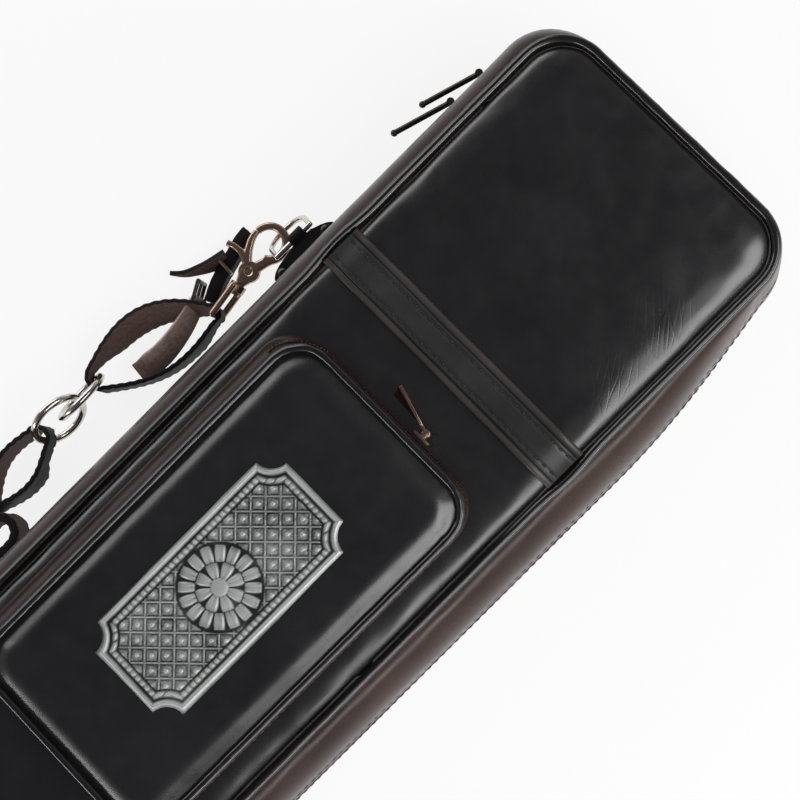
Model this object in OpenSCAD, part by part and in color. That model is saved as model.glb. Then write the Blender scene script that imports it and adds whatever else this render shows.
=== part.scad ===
// Leather butterfly cue case lying on its back.
// Two padded halves open about a leather spine on the +X side and are zipped along the -X side and both ends.
// The origin is the centre of the back face, +Z is up through the front, and +Y points to the top end.

/* [Case halves] */
// Length of the flat front and back panels
panel_l = 832; // [690:1:1000]
// Width of the flat front and back panels
panel_w = 168; // [160:1:210]
// Plan radius of the panel corners
panel_r = 24; // [16:1:36]
// Depth of one half, from its outer face to the zipper plane
half_depth = 48; // [46:1:60]
// How far the side leather bulges past the panel edge
bulge = 19; // [15:1:26]
// Thickness of the side leather
leather_t = 3; // [2:0.5:4]
// Thickness of a padded panel
padding_t = 7; // [6:0.5:9]
// Diameter of the piping round a panel
piping_d = 5; // [3.5:0.5:6]
// Thickness of the stiffening boards
board_t = 2.5; // [1.5:0.5:4]
// Thickness of the leather spine between the two halves
spine_t = 2.5; // [1.5:0.5:3]

/* [Main zipper] */
// Half the width of the zipper, from the closing line to the side leather
tape_reach = 7; // [5:0.5:9]
// Thickness of the zipper tape
tape_t = 1.2; // [0.8:0.1:2]
// Height of one row of zipper teeth
teeth_h = 1.6; // [1:0.1:2.5]
// Thickness of the zipper teeth
teeth_t = 3; // [2:0.1:4]
// Distance of the upper slider from the top of the panel
upper_slider_from_top = 44; // [40:1:90]
// Distance between the two sliders where they meet
slider_pitch = 22; // [18:1:40]
// Length of a main slider pull
bar_pull_l = 36; // [25:1:50]
// Diameter of a main slider pull
bar_pull_d = 3.2; // [2.5:0.1:3.6]

/* [Cue beds] */
// Thickness of the foam bed in each half
bed_t = 12; // [8:0.5:14]
// Width of a channel for a cue butt
butt_channel_w = 44; // [36:1:46]
// Number of butt channels
butt_channels = 3; // [2:1:3]
// Width of a channel for a cue shaft
shaft_channel_w = 22; // [18:1:23]
// Number of shaft channels
shaft_channels = 6; // [4:1:6]
// Thickness of a rib between butt channels
butt_rib_t = 8; // [5:1:9]
// Thickness of a rib between shaft channels
shaft_rib_t = 5; // [3:1:6]
// Length of a channel
channel_l = 790; // [600:1:800]
// Width of a retaining strap
keeper_w = 30; // [20:1:45]

/* [Front band] */
// Distance of the band's middle from the top of the panel
band_from_top = 164; // [150:1:180]
// Width of the band's lower layer
band_w = 26; // [20:1:30]
// Width of the band's stitched upper layer
band_top_w = 17; // [10:1:19]
// Thickness of one layer of band or strap leather
strap_leather_t = 1.9; // [1.2:0.1:2.5]

/* [Pockets] */
// Width of a pocket face
pocket_w = 130; // [110:1:140]
// How far the pockets sit towards the spine
pocket_x = 3.5; // [-4:0.5:6]
// Length of the upper pocket face
upper_pocket_l = 242; // [200:1:246]
// Distance of the upper pocket's top from the top of the panel
upper_pocket_from_top = 210; // [200:1:220]
// Length of the lower pocket face
lower_pocket_l = 280; // [200:1:300]
// Distance of the lower pocket's bottom from the bottom of the panel
lower_pocket_from_bottom = 28; // [20:1:40]
// Height of a pocket above the front panel
pocket_h = 26; // [22:1:34]
// Plan radius of a pocket's corners
pocket_r = 20; // [14:1:28]
// How far a pocket's wall flares at its foot
pocket_flare = 5; // [3.5:0.5:7]
// Diameter of the piping round a pocket face
pocket_piping_d = 4; // [3:0.5:4.5]
// Length of the tooled leather plaque
plaque_l = 140; // [100:1:150]
// Width of the tooled leather plaque
plaque_w = 66; // [50:1:80]
// Length of a pocket slider's flat pull
tab_pull_l = 28; // [20:1:34]

/* [Strap hardware] */
// Distance of the upper ring from the top of the panel
ring_from_top = 181; // [160:1:200]
// Depth of a D ring from its bar to its far end
d_ring_depth = 28; // [24:1:32]
// Wire diameter of the D rings
d_wire_d = 3.2; // [3:0.1:4]
// Radius of the hook's eye hole
hook_hole_r = 7.5; // [7:0.1:9]
// Thickness of the snap hook
hook_t = 5; // [4:0.1:6]
// Diameter of the gate's rivet
rivet_d = 3; // [2.5:0.1:3.4]
// Opening width of the swivel eye that the leather goes through
eye_w = 19; // [16:0.5:20]
// Radius of the round linking rings at the middle of the wire
link_r = 16; // [15:0.5:18]
// Wire diameter of the round linking rings
link_d = 4.4; // [3.5:0.1:5]
// Width of the strap leather, which stands on edge
strap_w = 23; // [20:1:26]
// Width to which the leather narrows inside the rings and eyes
narrow_w = 13; // [10:0.5:14]
// Thickness of the shoulder strap
strap_t = 5; // [3:0.5:5.5]

/* [Hidden] */
$fn = 48;
// Gap that keeps neighbouring soft pieces apart
ease = 0.3;
// Gap between pieces that lie on each other in one half
lay = 0.1;
// Radial clearance of a pin in its hole
pin_ease = 0.1;
// Radial clearance of a driven rivet
rivet_fit = 0.02;
// Steps along the rounded side leather
arc_steps = 8;

case_depth = 2 * half_depth;
roll_z = piping_d + 1;
edge_z = half_depth - tape_reach;
side_x = panel_w / 2 + bulge;
pipe_off = piping_d / 2 - lay;
board_z = max(padding_t, roll_z) + lay;
bed_z = board_z + board_t + ease;
rib_z = bed_z + bed_t + lay;
keeper_t = 1.5;
stud_h = 1.6;
stud_d = 11;
keeper_z = half_depth - ease - stud_h - keeper_t - lay;
rib_top = keeper_z - lay;
bed_w = panel_w - 2 * ease;
bed_l = panel_l - 2 * ease;
rib_half_w = panel_w / 2 + bulge * 0.3;
end_block_w = panel_w - 0.6 * panel_r;
keeper_y = panel_l * 0.24;

ring_y = panel_l / 2 - ring_from_top;
upper_slider_y = panel_l / 2 - upper_slider_from_top;
lower_slider_y = upper_slider_y - slider_pitch;
band_y = panel_l / 2 - band_from_top;

zip_mid_h = pocket_h * 0.46;
rim_top_h = pocket_h - pocket_piping_d - 1 - ease;
mid_flare = pocket_flare / 2;
upper_pocket_y = panel_l / 2 - upper_pocket_from_top - upper_pocket_l / 2;
lower_pocket_y = -panel_l / 2 + lower_pocket_from_bottom + lower_pocket_l / 2;
pocket_wall_t = 2.5;
pocket_tape_t = 1;
pocket_tape_w = 4;
face_t = pocket_piping_d + 2;
plaque_t = 1.5;

// Slider sizes: plate, lugs and the pin that carries the pull
plate_t = 1.5;
main_plate_h = 11;
main_plate_l = 13;
pocket_plate_h = 8;
pocket_plate_l = 10;
pin_d = 1.6;
knuckle_d = 4.4;
lug_t = 1.2;
lug_l = 3;
lug_past_pin = 1.2;
pin_out = plate_t + knuckle_d / 2 + ease;
pull_tilt = 17;
tab_pull_w = 6.5;
tab_pull_t = 1.8;
tab_neck_l = 5;
ball_extra = 0.8;
pull_sink = 0.6;
pocket_slider_x = 21;
slider_off = mid_flare + lay + pocket_tape_t + (pocket_flare - mid_flare) * 0.4;

// Strap hardware: the D ring hangs from its tab, and its far end lies in the hook
d_tilt = 60;
d_half = 13;
d_wire_r = d_wire_d / 2;
d_cross = d_half * 0.85;
d_straight = d_ring_depth - d_half;
d_reach = d_straight + sqrt(d_half * d_half - d_cross * d_cross);
tab_reach = 16;
ring_tab_l = 46;
ring_tab_h = 5;
tab_rivet_d = 6;
tab_rivet_h = 0.8;
tab_rivet_crown = 0.7;
tab_rivet_in = 6;
hook_turn = 9;
hook_z = 14;
bar_x = -side_x - tab_reach;
bar_z = hook_z + d_reach * sin(d_tilt);
hook_x = bar_x - d_reach * cos(d_tilt) - hook_hole_r / 3;
hook_y = ring_y - d_cross;
hook_r = hook_hole_r + 4.5;
shank_w = 9;
pivot_y = -hook_hole_r - 12.5;
gate_t = hook_t - 0.4;
tongue_t = 1.8;
recess_r = 7.2;
throat_from_pivot = 5.2;
neck_y = pivot_y - 11;
neck_d = 5;
collar_l = 5;
collar_d = 10;
head_l = 2;
eye_wire = 4;
eye_half = eye_w / 2 + eye_wire / 2;
eye_l = 18;
eye_seat = 0.2;
eye_end_y = neck_y - 2 - eye_l;
eye_bar = turned([0, eye_end_y], hook_turn) + [hook_x, hook_y];

// The two linking rings lean opposite ways about one line along the strap
link_lean = 20;
link_x = eye_bar[0] - 22;
link_z = link_r * cos(link_lean) + link_d / 2 + ease;
link_a_y = eye_bar[1] - 87;
link_b_y = link_a_y - 18;
narrow_z = link_z - narrow_w / 2;
chape_t = 2.5;
chape_belly = 9;
loop_r = narrow_w / 2 * tan(link_lean) + link_d / 2 / cos(link_lean) + 3 * ease;
eye_loop_r = eye_wire / 2 + ease;
link_a_end = [link_x, link_a_y + link_r];
link_b_end = [link_x, link_b_y - link_r];
lower_eye = [eye_bar[0], -eye_bar[1]];
strap_loop_l = 46;
lower_loop_l = 30;
strap_knot = link_b_end + [8, -strap_loop_l];
lower_knot = lower_eye + [4, lower_loop_l];

// The shoulder strap's way over the floor: two long runs out to a bend below, then a bend beside the case
knot_r = 1;
low_bend = [-side_x - 77, -1.23 * ring_y];
low_bend_r = 10.5;
top_bend = [-side_x - 20.5, 0];
top_bend_r = 9;
run_out = concat(
    [strap_knot + [0, -knot_r - chape_t - lay]],
    [for (p = [[41, -0.14], [52, -0.4], [74, -0.8], [86.5, -1.1]]) [-side_x - p[0], p[1] * ring_y]],
    [low_bend + [-low_bend_r, 0]]
);
run_back = concat(
    [low_bend + [low_bend_r, 0]],
    [for (p = [[65, -1.1], [60, -0.8], [44, -0.4], [32, -0.12]]) [-side_x - p[0], p[1] * ring_y]],
    [top_bend + [-top_bend_r, 0]]
);
run_down = concat(
    [top_bend + [top_bend_r, 0]],
    [for (p = [[11.5, -0.1], [13, -0.3], [19, -0.5]]) [-side_x - p[0], p[1] * ring_y]],
    [lower_knot + [0, knot_r + chape_t + lay]]
);
strap_path = concat(
    smooth(run_out, 4),
    bend(low_bend, low_bend_r, 180, 360),
    smooth(run_back, 4),
    bend(top_bend, top_bend_r, 180, 0),
    smooth(run_down, 4)
);

function turned(p, a) = [p[0] * cos(a) - p[1] * sin(a), p[0] * sin(a) + p[1] * cos(a)];
function unit(v) = v / norm(v);
function side_of(v) = [-v[1], v[0]];
function bend(c, r, from, to) = [for (i = [1 : 7]) c + r * turned([1, 0], from + (to - from) * i / 8)];
function flipped(list) = [for (i = [len(list) - 1 : -1 : 0]) list[i]];

// A smooth curve through points, and the direction along it
function smooth_at(p, i, t) = let (
    a = p[max(i - 1, 0)],
    b = p[i],
    c = p[i + 1],
    d = p[min(i + 2, len(p) - 1)]
) (2 * b + (c - a) * t + (2 * a - 5 * b + 4 * c - d) * t * t + (3 * b - a - 3 * c + d) * t * t * t) / 2;
function smooth(p, steps) = concat(
    [for (i = [0 : len(p) - 2], s = [0 : steps - 1]) smooth_at(p, i, s / steps)],
    [p[len(p) - 1]]
);
function heading(p, i) = unit(p[min(i + 1, len(p) - 1)] - p[max(i - 1, 0)]);
function beside(p, gap) = [for (i = [0 : len(p) - 1]) p[i] + gap * side_of(heading(p, i))];

// Outline of a leather loop round a wire at each end, swollen by its belly between them
function loop_side(p, q, rp, rq, belly, grow, steps) = let (
    n = side_of(unit(q - p))
) [for (i = [0 : steps])
    let (t = i / steps) p + (q - p) * t + n * (rp + (rq - rp) * t + belly * sin(180 * t) + grow)];
function loop_cap(c, d, r, steps) = [for (i = [1 : steps - 1]) c + r * turned(d, 90 - 180 * i / steps)];
function loop_outline(p, q, rp, rq, belly, grow) = let (d = unit(q - p)) concat(
    loop_side(p, q, rp, rq, belly, grow, 12),
    loop_cap(q, d, rq + grow, 8),
    loop_side(q, p, rq, rp, belly, grow, 12),
    loop_cap(p, -d, rp + grow, 8)
);

// Mirrors what is drawn for the back half into the front half
module in_front() {
    translate([0, 0, case_depth]) mirror([0, 0, 1]) children();
}

module rounded_plate(w, l, r, t) {
    linear_extrude(t) {
        square([w - 2 * r, l], center = true);
        square([w, l - 2 * r], center = true);
        for (x = [-1, 1], y = [-1, 1])
            translate([x * (w / 2 - r), y * (l / 2 - r)]) circle(r);
    }
}

// Carries a profile round a rounded rectangle: profile x is outwards from the outline and profile y is up
module round_outline(w, l, r, right = true, left = true) {
    if (right)
        translate([w / 2, l / 2 - r, 0]) rotate([90, 0, 0]) linear_extrude(l - 2 * r) children();
    if (left)
        rotate([0, 0, 180]) translate([w / 2, l / 2 - r, 0]) rotate([90, 0, 0])
            linear_extrude(l - 2 * r) children();
    for (a = [90, 270])
        rotate([0, 0, a]) translate([l / 2, w / 2 - r, 0]) rotate([90, 0, 0])
            linear_extrude(w - 2 * r) children();
    for (k = [[1, 1, 0], [-1, 1, 90], [-1, -1, 180], [1, -1, 270]])
        translate([k[0] * (w / 2 - r), k[1] * (l / 2 - r), 0]) rotate([0, 0, k[2]])
            rotate_extrude(angle = 90) translate([r, 0]) children();
}

function gusset_arc(grow) = [for (i = [0 : arc_steps]) let (t = 90 * i / arc_steps)
    [(bulge - grow) * sin(t), edge_z - (edge_z - roll_z - grow) * cos(t)]];

// Reach of the side leather from the middle of the case at a height on the back half
function side_at(z) = panel_w / 2 + bulge * sqrt(1 - pow(max(edge_z - z, 0) / (edge_z - roll_z), 2));

module padded_panel() rounded_plate(panel_w - 2 * ease, panel_l - 2 * ease, panel_r - ease, padding_t);

module stiff_board()
    translate([0, 0, board_z])
        rounded_plate(panel_w - 4 * ease, panel_l - 4 * ease, panel_r - 2 * ease, board_t);

module panel_piping()
    round_outline(panel_w, panel_l, panel_r)
        translate([pipe_off, roll_z - piping_d / 2 - ease]) circle(d = piping_d);

module side_gusset()
    round_outline(panel_w, panel_l, panel_r)
        polygon(concat(gusset_arc(0), flipped(gusset_arc(leather_t))));

module zipper_tape()
    round_outline(panel_w, panel_l, panel_r, right = false)
        translate([bulge - (leather_t + tape_t) / 2, edge_z])
            square([tape_t, tape_reach - ease / 2 - teeth_h]);

module zipper_teeth()
    round_outline(panel_w, panel_l, panel_r, right = false)
        translate([bulge - (leather_t + teeth_t) / 2, half_depth - ease / 2 - teeth_h])
            square([teeth_t, teeth_h]);

module foam_bed() translate([0, 0, bed_z]) rounded_plate(bed_w, bed_l, panel_r - ease, bed_t);

// Ribs between the channels, a side cushion at each edge and a block at each end
module channel_ribs(count, channel, rib) {
    pitch = channel + rib;
    inner = (count * pitch - rib) / 2;
    h = rib_top - rib_z;
    translate([0, 0, rib_z]) {
        for (i = [1 : count - 1])
            translate([-inner + i * pitch - rib, -channel_l / 2, 0]) cube([rib, channel_l, h]);
        for (s = [0, 1]) mirror([s, 0, 0])
            translate([inner, -channel_l / 2, 0]) cube([rib_half_w - inner, channel_l, h]);
        for (s = [0, 1]) mirror([0, s, 0])
            translate([-end_block_w / 2, channel_l / 2 + lay, 0])
                cube([end_block_w, (panel_l - channel_l) / 2 - lay, h]);
    }
}

module keeper_straps()
    for (y = [-keeper_y, keeper_y])
        translate([-rib_half_w, y - keeper_w / 2, keeper_z]) cube([2 * rib_half_w, keeper_w, keeper_t]);

module keeper_studs()
    for (x = [-1, 1], y = [-keeper_y, keeper_y])
        translate([x * (rib_half_w - stud_d), y, keeper_z + keeper_t + lay]) cylinder(d = stud_d, h = stud_h);

// Pocket parts are drawn about the middle of the pocket's foot
module at_pocket(y) translate([pocket_x, y, case_depth]) children();

module pocket_wall(l)
    round_outline(pocket_w, l, pocket_r)
        polygon([
            [pocket_flare, lay],
            [mid_flare, zip_mid_h - ease / 2],
            [mid_flare - pocket_wall_t, zip_mid_h - ease / 2],
            [pocket_flare - pocket_wall_t, lay]
        ]);

// The zipper strip lies on the sloping wall, along its upper edge
module pocket_zipper(l) {
    top = zip_mid_h - ease / 2;
    spread = (pocket_flare - mid_flare) / (top - lay) * pocket_tape_w;
    round_outline(pocket_w, l, pocket_r, left = false)
        translate([mid_flare + lay, top]) polygon([
            [0, 0],
            [spread, -pocket_tape_w],
            [spread + pocket_tape_t, -pocket_tape_w],
            [pocket_tape_t, 0]
        ]);
}

module pocket_rim(l)
    round_outline(pocket_w, l, pocket_r)
        polygon([
            [mid_flare, zip_mid_h + ease / 2],
            [pocket_piping_d / 2, rim_top_h],
            [pocket_piping_d / 2 - pocket_wall_t, rim_top_h],
            [mid_flare - pocket_wall_t, zip_mid_h + ease / 2]
        ]);

module pocket_face(l)
    translate([0, 0, pocket_h - face_t])
        rounded_plate(pocket_w - 2 * pocket_wall_t, l - 2 * pocket_wall_t, pocket_r - pocket_wall_t, face_t);

module pocket_piping(l)
    round_outline(pocket_w, l, pocket_r)
        translate([0, pocket_h - pocket_piping_d / 2 - 1]) circle(d = pocket_piping_d);

// Zipper slider with its plate on the zipper: local X is outwards, local Y follows the zipper
module slider(h, l) {
    translate([ease, -l / 2, -h / 2]) cube([plate_t, l, h]);
    lug_z = knuckle_d / 2 + ease;
    translate([ease, 0, 0]) {
        for (s = [0, 1]) mirror([0, 0, s])
            translate([0, -lug_l / 2, lug_z]) cube([pin_out + lug_past_pin, lug_l, lug_t]);
        translate([pin_out, 0, -lug_z - lug_t]) cylinder(d = pin_d, h = 2 * (lug_z + lug_t));
    }
}

module pull_knuckle()
    difference() {
        translate([0, 0, -knuckle_d / 2]) cylinder(d = knuckle_d, h = knuckle_d);
        translate([0, 0, -knuckle_d]) cylinder(d = pin_d + 2 * pin_ease, h = 2 * knuckle_d);
    }

module bar_pull()
    translate([ease + pin_out, 0, 0]) rotate([0, 0, -pull_tilt]) {
        pull_knuckle();
        translate([0, knuckle_d / 2 - pull_sink, 0]) rotate([-90, 0, 0])
            cylinder(d = bar_pull_d, h = bar_pull_l - knuckle_d / 2);
        translate([0, bar_pull_l - pull_sink, 0]) sphere(d = bar_pull_d + ball_extra);
    }

module tab_pull()
    translate([ease + pin_out, 0, 0]) rotate([0, 0, -pull_tilt]) {
        pull_knuckle();
        translate([-tab_pull_t / 2, knuckle_d / 2 - pull_sink, -knuckle_d / 2])
            cube([tab_pull_t, tab_neck_l, knuckle_d]);
        translate([-tab_pull_t / 2, tab_neck_l, -tab_pull_w / 2])
            cube([tab_pull_t, tab_pull_l - tab_neck_l, tab_pull_w]);
    }

module on_zipper(y) translate([-side_x, y, half_depth]) rotate([0, 0, 180]) children();

module on_pocket(pocket_y, l)
    translate([pocket_slider_x, pocket_y + l / 2 + slider_off, case_depth + zip_mid_h])
        rotate([0, 0, 90]) children();

// The lower snap and ring mirror the upper ones
module lower_end() mirror([0, 1, 0]) children();

module d_ring()
    translate([bar_x, ring_y, bar_z]) rotate([0, 180 - d_tilt, 0]) {
        translate([0, -d_half, 0]) rotate([-90, 0, 0]) cylinder(r = d_wire_r, h = 2 * d_half);
        for (s = [-1, 1]) translate([0, s * d_half, 0]) {
            sphere(r = d_wire_r);
            rotate([0, 90, 0]) cylinder(r = d_wire_r, h = d_straight);
        }
        translate([d_straight, 0, 0]) rotate([0, 0, -90])
            rotate_extrude(angle = 180) translate([d_half, 0]) circle(r = d_wire_r);
    }

// Leather tab that holds a D ring's bar in a sleeve
module ring_tab() {
    sleeve_r = d_wire_r + 2.4;
    sleeve_l = 2 * d_half - d_wire_d - 2;
    tab_from = d_wire_r + 1;
    tab_to = -bar_x - side_at(bar_z + ring_tab_h / 2) - ease;
    translate([bar_x, ring_y, bar_z]) difference() {
        union() {
            translate([tab_from, -ring_tab_l / 2, -ring_tab_h / 2])
                cube([tab_to - tab_from, ring_tab_l, ring_tab_h]);
            translate([0, -sleeve_l / 2, -ring_tab_h / 2]) cube([tab_from + 1, sleeve_l, ring_tab_h]);
            translate([0, -sleeve_l / 2, 0]) rotate([-90, 0, 0]) cylinder(r = sleeve_r, h = sleeve_l);
        }
        translate([0, -ring_tab_l, 0]) rotate([-90, 0, 0])
            cylinder(r = d_wire_r + pin_ease, h = 2 * ring_tab_l);
    }
}

module tab_rivets()
    for (s = [-1, 1])
        translate([
            bar_x + tab_reach * 0.6,
            ring_y + s * (ring_tab_l / 2 - tab_rivet_in),
            bar_z + ring_tab_h / 2 + lay
        ]) {
            cylinder(d = tab_rivet_d, h = tab_rivet_h);
            translate([0, 0, tab_rivet_h])
                cylinder(d1 = tab_rivet_d, d2 = tab_rivet_d * 0.6, h = tab_rivet_crown);
        }

// Snap hook parts are drawn about the middle of the hook's hole, with local Y along the hook
module at_hook() translate([hook_x, hook_y, hook_z]) rotate([0, 0, hook_turn]) children();

module snap_hook() {
    difference() {
        linear_extrude(hook_t, center = true) difference() {
            union() {
                circle(hook_r);
                translate([-shank_w / 2, neck_y + collar_l / 2]) square([shank_w, -neck_y - collar_l]);
            }
            circle(hook_hole_r);
            polygon([
                [0, 1.2], [-20, 8], [-20, pivot_y + throat_from_pivot],
                [-1, pivot_y + throat_from_pivot], [-1, -6]
            ]);
        }
        for (s = [0, 1]) mirror([0, 0, s])
            translate([0, pivot_y, tongue_t / 2]) cylinder(r = recess_r, h = hook_t);
        translate([0, pivot_y, -hook_t]) cylinder(d = rivet_d + 2 * rivet_fit, h = 2 * hook_t);
    }
    translate([0, neck_y + collar_l / 2 + 1, 0]) rotate([90, 0, 0])
        cylinder(d = neck_d, h = collar_l + 1.5 + ease);
    translate([0, neck_y - collar_l / 2 - ease, 0]) rotate([90, 0, 0])
        cylinder(d = neck_d + 3, h = head_l);
}

module snap_rivet() {
    translate([0, pivot_y, -gate_t / 2 - lay]) cylinder(d = rivet_d, h = gate_t + 2 * lay);
    for (s = [0, 1]) mirror([0, 0, s])
        translate([0, pivot_y, gate_t / 2 + lay]) cylinder(d1 = rivet_d + 2, d2 = rivet_d + 0.8, h = 0.9);
}

module snap_gate()
    difference() {
        translate([0, pivot_y, 0]) linear_extrude(gate_t, center = true) {
            circle(5);
            polygon([
                [-3, -3], [-3, 3.5], [-5.1, 5.5], [-hook_hole_r + 0.1, -pivot_y + 1.6],
                [-hook_hole_r - 2.7, -pivot_y + 2.6], [-8.6, 6], [-6, -2]
            ]);
            polygon([[-2, -4.4], [-4, 3], [-18.5, 8], [-21, 7.4], [-21, 4.8]]);
        }
        translate([0, pivot_y, -tongue_t / 2 - ease])
            cylinder(r = recess_r + 0.2, h = tongue_t + 2 * ease);
        translate([0, pivot_y, -gate_t]) cylinder(d = rivet_d + 2 * pin_ease, h = 2 * gate_t);
    }

module swivel_eye()
    difference() {
        union() {
            translate([0, neck_y + collar_l / 2 - ease, 0]) rotate([90, 0, 0])
                cylinder(d = collar_d, h = collar_l - ease);
            translate([0, neck_y - eye_seat, -eye_half]) cylinder(d = eye_wire, h = 2 * eye_half);
            for (s = [-1, 1]) translate([0, neck_y - eye_seat, s * eye_half]) {
                sphere(d = eye_wire);
                rotate([90, 0, 0]) cylinder(d = eye_wire, h = eye_l + 1.5);
            }
            translate([0, eye_end_y, -eye_half]) cylinder(d = eye_wire, h = 2 * eye_half);
            for (s = [-1, 1]) translate([0, eye_end_y, s * eye_half]) sphere(d = eye_wire);
        }
        translate([0, neck_y + collar_l, 0]) rotate([90, 0, 0])
            cylinder(d = neck_d + 2 * pin_ease, h = 2 * collar_l + 2);
    }

module link_ring(y, lean)
    translate([link_x, y, link_z]) rotate([0, 90 + lean, 0])
        rotate_extrude() translate([link_r, 0]) circle(d = link_d);

// A leather loop standing on edge, narrowed where it passes a wire
module leather_loop(p, q, rp, rq, belly, t, wide_from, wide_to) {
    difference() {
        linear_extrude(strap_w) difference() {
            polygon(loop_outline(p, q, rp, rq, belly, t));
            polygon(loop_outline(p, q, rp, rq, belly, 0));
        }
        d = unit(q - p);
        for (k = [[p, -d, wide_from], [q, d, wide_to]])
            translate([k[0][0], k[0][1], 0]) rotate([0, 0, atan2(k[1][1], k[1][0])])
                translate([-k[2], -40, 0]) {
                    translate([0, 0, -1]) cube([60, 80, narrow_z + 1]);
                    translate([0, 0, narrow_z + narrow_w]) cube([60, 80, strap_w]);
                }
    }
}

module back_panel() color("#1a1615") padded_panel();
module back_board() color("#6b5a45") stiff_board();
module back_piping() color("#120f0e") panel_piping();
module back_gusset() color("#241a18") side_gusset();
module back_zipper_tape() color("#8c7d7a") zipper_tape();
module back_zipper_teeth() color("#1c1c1e") zipper_teeth();
module butt_bed() color("#3b3b44") foam_bed();
module butt_ribs() color("#3b3b44") channel_ribs(butt_channels, butt_channel_w, butt_rib_t);
module butt_keepers() color("#22201f") keeper_straps();
module butt_keeper_snaps() color("#a8a29a") keeper_studs();

// The spine bridges the two side leathers on the +X side
module spine()
    color("#1f1715")
        translate([side_x - leather_t / 2 - spine_t / 2, -panel_l / 2 + panel_r, edge_z])
            cube([spine_t, panel_l - 2 * panel_r, 2 * tape_reach]);

module front_panel() color("#1a1615") in_front() padded_panel();
module front_board() color("#6b5a45") in_front() stiff_board();
module front_piping() color("#120f0e") in_front() panel_piping();
module front_gusset() color("#241a18") in_front() side_gusset();
module front_zipper_tape() color("#8c7d7a") in_front() zipper_tape();
module front_zipper_teeth() color("#1c1c1e") in_front() zipper_teeth();
module shaft_bed() color("#3b3b44") in_front() foam_bed();
module shaft_ribs() color("#3b3b44") in_front() channel_ribs(shaft_channels, shaft_channel_w, shaft_rib_t);
module shaft_keepers() color("#22201f") in_front() keeper_straps();
module shaft_keeper_snaps() color("#a8a29a") in_front() keeper_studs();

module band_layer(w, z)
    translate([-panel_w / 2, band_y - w / 2, z]) cube([panel_w, w, strap_leather_t]);
module band_base() color("#171312") band_layer(band_w, case_depth + lay);
module band_top() color("#1d1817") band_layer(band_top_w, case_depth + strap_leather_t + 2 * lay);

module upper_pocket_wall() color("#241a18") at_pocket(upper_pocket_y) pocket_wall(upper_pocket_l);
module upper_pocket_zipper() color("#2a2624") at_pocket(upper_pocket_y) pocket_zipper(upper_pocket_l);
module upper_pocket_rim() color("#1f1715") at_pocket(upper_pocket_y) pocket_rim(upper_pocket_l);
module upper_pocket_face() color("#1a1615") at_pocket(upper_pocket_y) pocket_face(upper_pocket_l);
module upper_pocket_piping() color("#120f0e") at_pocket(upper_pocket_y) pocket_piping(upper_pocket_l);
module upper_pocket_slider()
    color("#8b8178") on_pocket(upper_pocket_y, upper_pocket_l) slider(pocket_plate_h, pocket_plate_l);
module upper_pocket_pull() color("#6f6155") on_pocket(upper_pocket_y, upper_pocket_l) tab_pull();

// Plaque with scooped corners on the pocket's face
module upper_pocket_plaque()
    color("#8b8f8d") at_pocket(upper_pocket_y) translate([0, 0, pocket_h + lay])
        linear_extrude(plaque_t) difference() {
            square([plaque_w, plaque_l], center = true);
            for (x = [-1, 1], y = [-1, 1])
                translate([x * plaque_w / 2, y * plaque_l / 2]) circle(plaque_w * 0.17);
        }

module lower_pocket_wall() color("#241a18") at_pocket(lower_pocket_y) pocket_wall(lower_pocket_l);
module lower_pocket_zipper() color("#2a2624") at_pocket(lower_pocket_y) pocket_zipper(lower_pocket_l);
module lower_pocket_rim() color("#1f1715") at_pocket(lower_pocket_y) pocket_rim(lower_pocket_l);
module lower_pocket_face() color("#1a1615") at_pocket(lower_pocket_y) pocket_face(lower_pocket_l);
module lower_pocket_piping() color("#120f0e") at_pocket(lower_pocket_y) pocket_piping(lower_pocket_l);
module lower_pocket_slider()
    color("#8b8178") on_pocket(lower_pocket_y, lower_pocket_l) slider(pocket_plate_h, pocket_plate_l);
module lower_pocket_pull() color("#6f6155") on_pocket(lower_pocket_y, lower_pocket_l) tab_pull();

module upper_slider() color("#3a3634") on_zipper(upper_slider_y) slider(main_plate_h, main_plate_l);
module upper_pull() color("#2b2827") on_zipper(upper_slider_y) bar_pull();
module lower_slider() color("#3a3634") on_zipper(lower_slider_y) slider(main_plate_h, main_plate_l);
module lower_pull() color("#2b2827") on_zipper(lower_slider_y) bar_pull();

module ring_tabs() color("#1d1817") {
    ring_tab();
    lower_end() ring_tab();
}
module ring_tab_rivets() color("#a39a8f") {
    tab_rivets();
    lower_end() tab_rivets();
}
module upper_d_ring() color("#b3aca4") d_ring();
module lower_d_ring() color("#b3aca4") lower_end() d_ring();

module upper_snap_hook() color("#a3927f") at_hook() snap_hook();
module upper_snap_rivet() color("#8f8072") at_hook() snap_rivet();
module upper_snap_gate() color("#a3927f") at_hook() snap_gate();
module upper_swivel_eye() color("#a3927f") at_hook() swivel_eye();
module lower_snap_hook() color("#a3927f") lower_end() at_hook() snap_hook();
module lower_snap_rivet() color("#8f8072") lower_end() at_hook() snap_rivet();
module lower_snap_gate() color("#a3927f") lower_end() at_hook() snap_gate();
module lower_swivel_eye() color("#a3927f") lower_end() at_hook() swivel_eye();

// Buckled leather loop between the swivel eye and the first linking ring, with its free pointed end
tongue_root = eye_bar + [-13.4, -6];
tongue_tip = tongue_root + [-14, -26];
module chape() color("#3a2a25") {
    leather_loop(eye_bar, link_a_end, eye_loop_r, loop_r, chape_belly, chape_t, 10, 12);
    way = unit(tongue_tip - tongue_root);
    thick = side_of(way) * chape_t / 2;
    linear_extrude(strap_w * 0.7)
        polygon([tongue_root + thick, tongue_tip, tongue_root - thick]);
}

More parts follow.
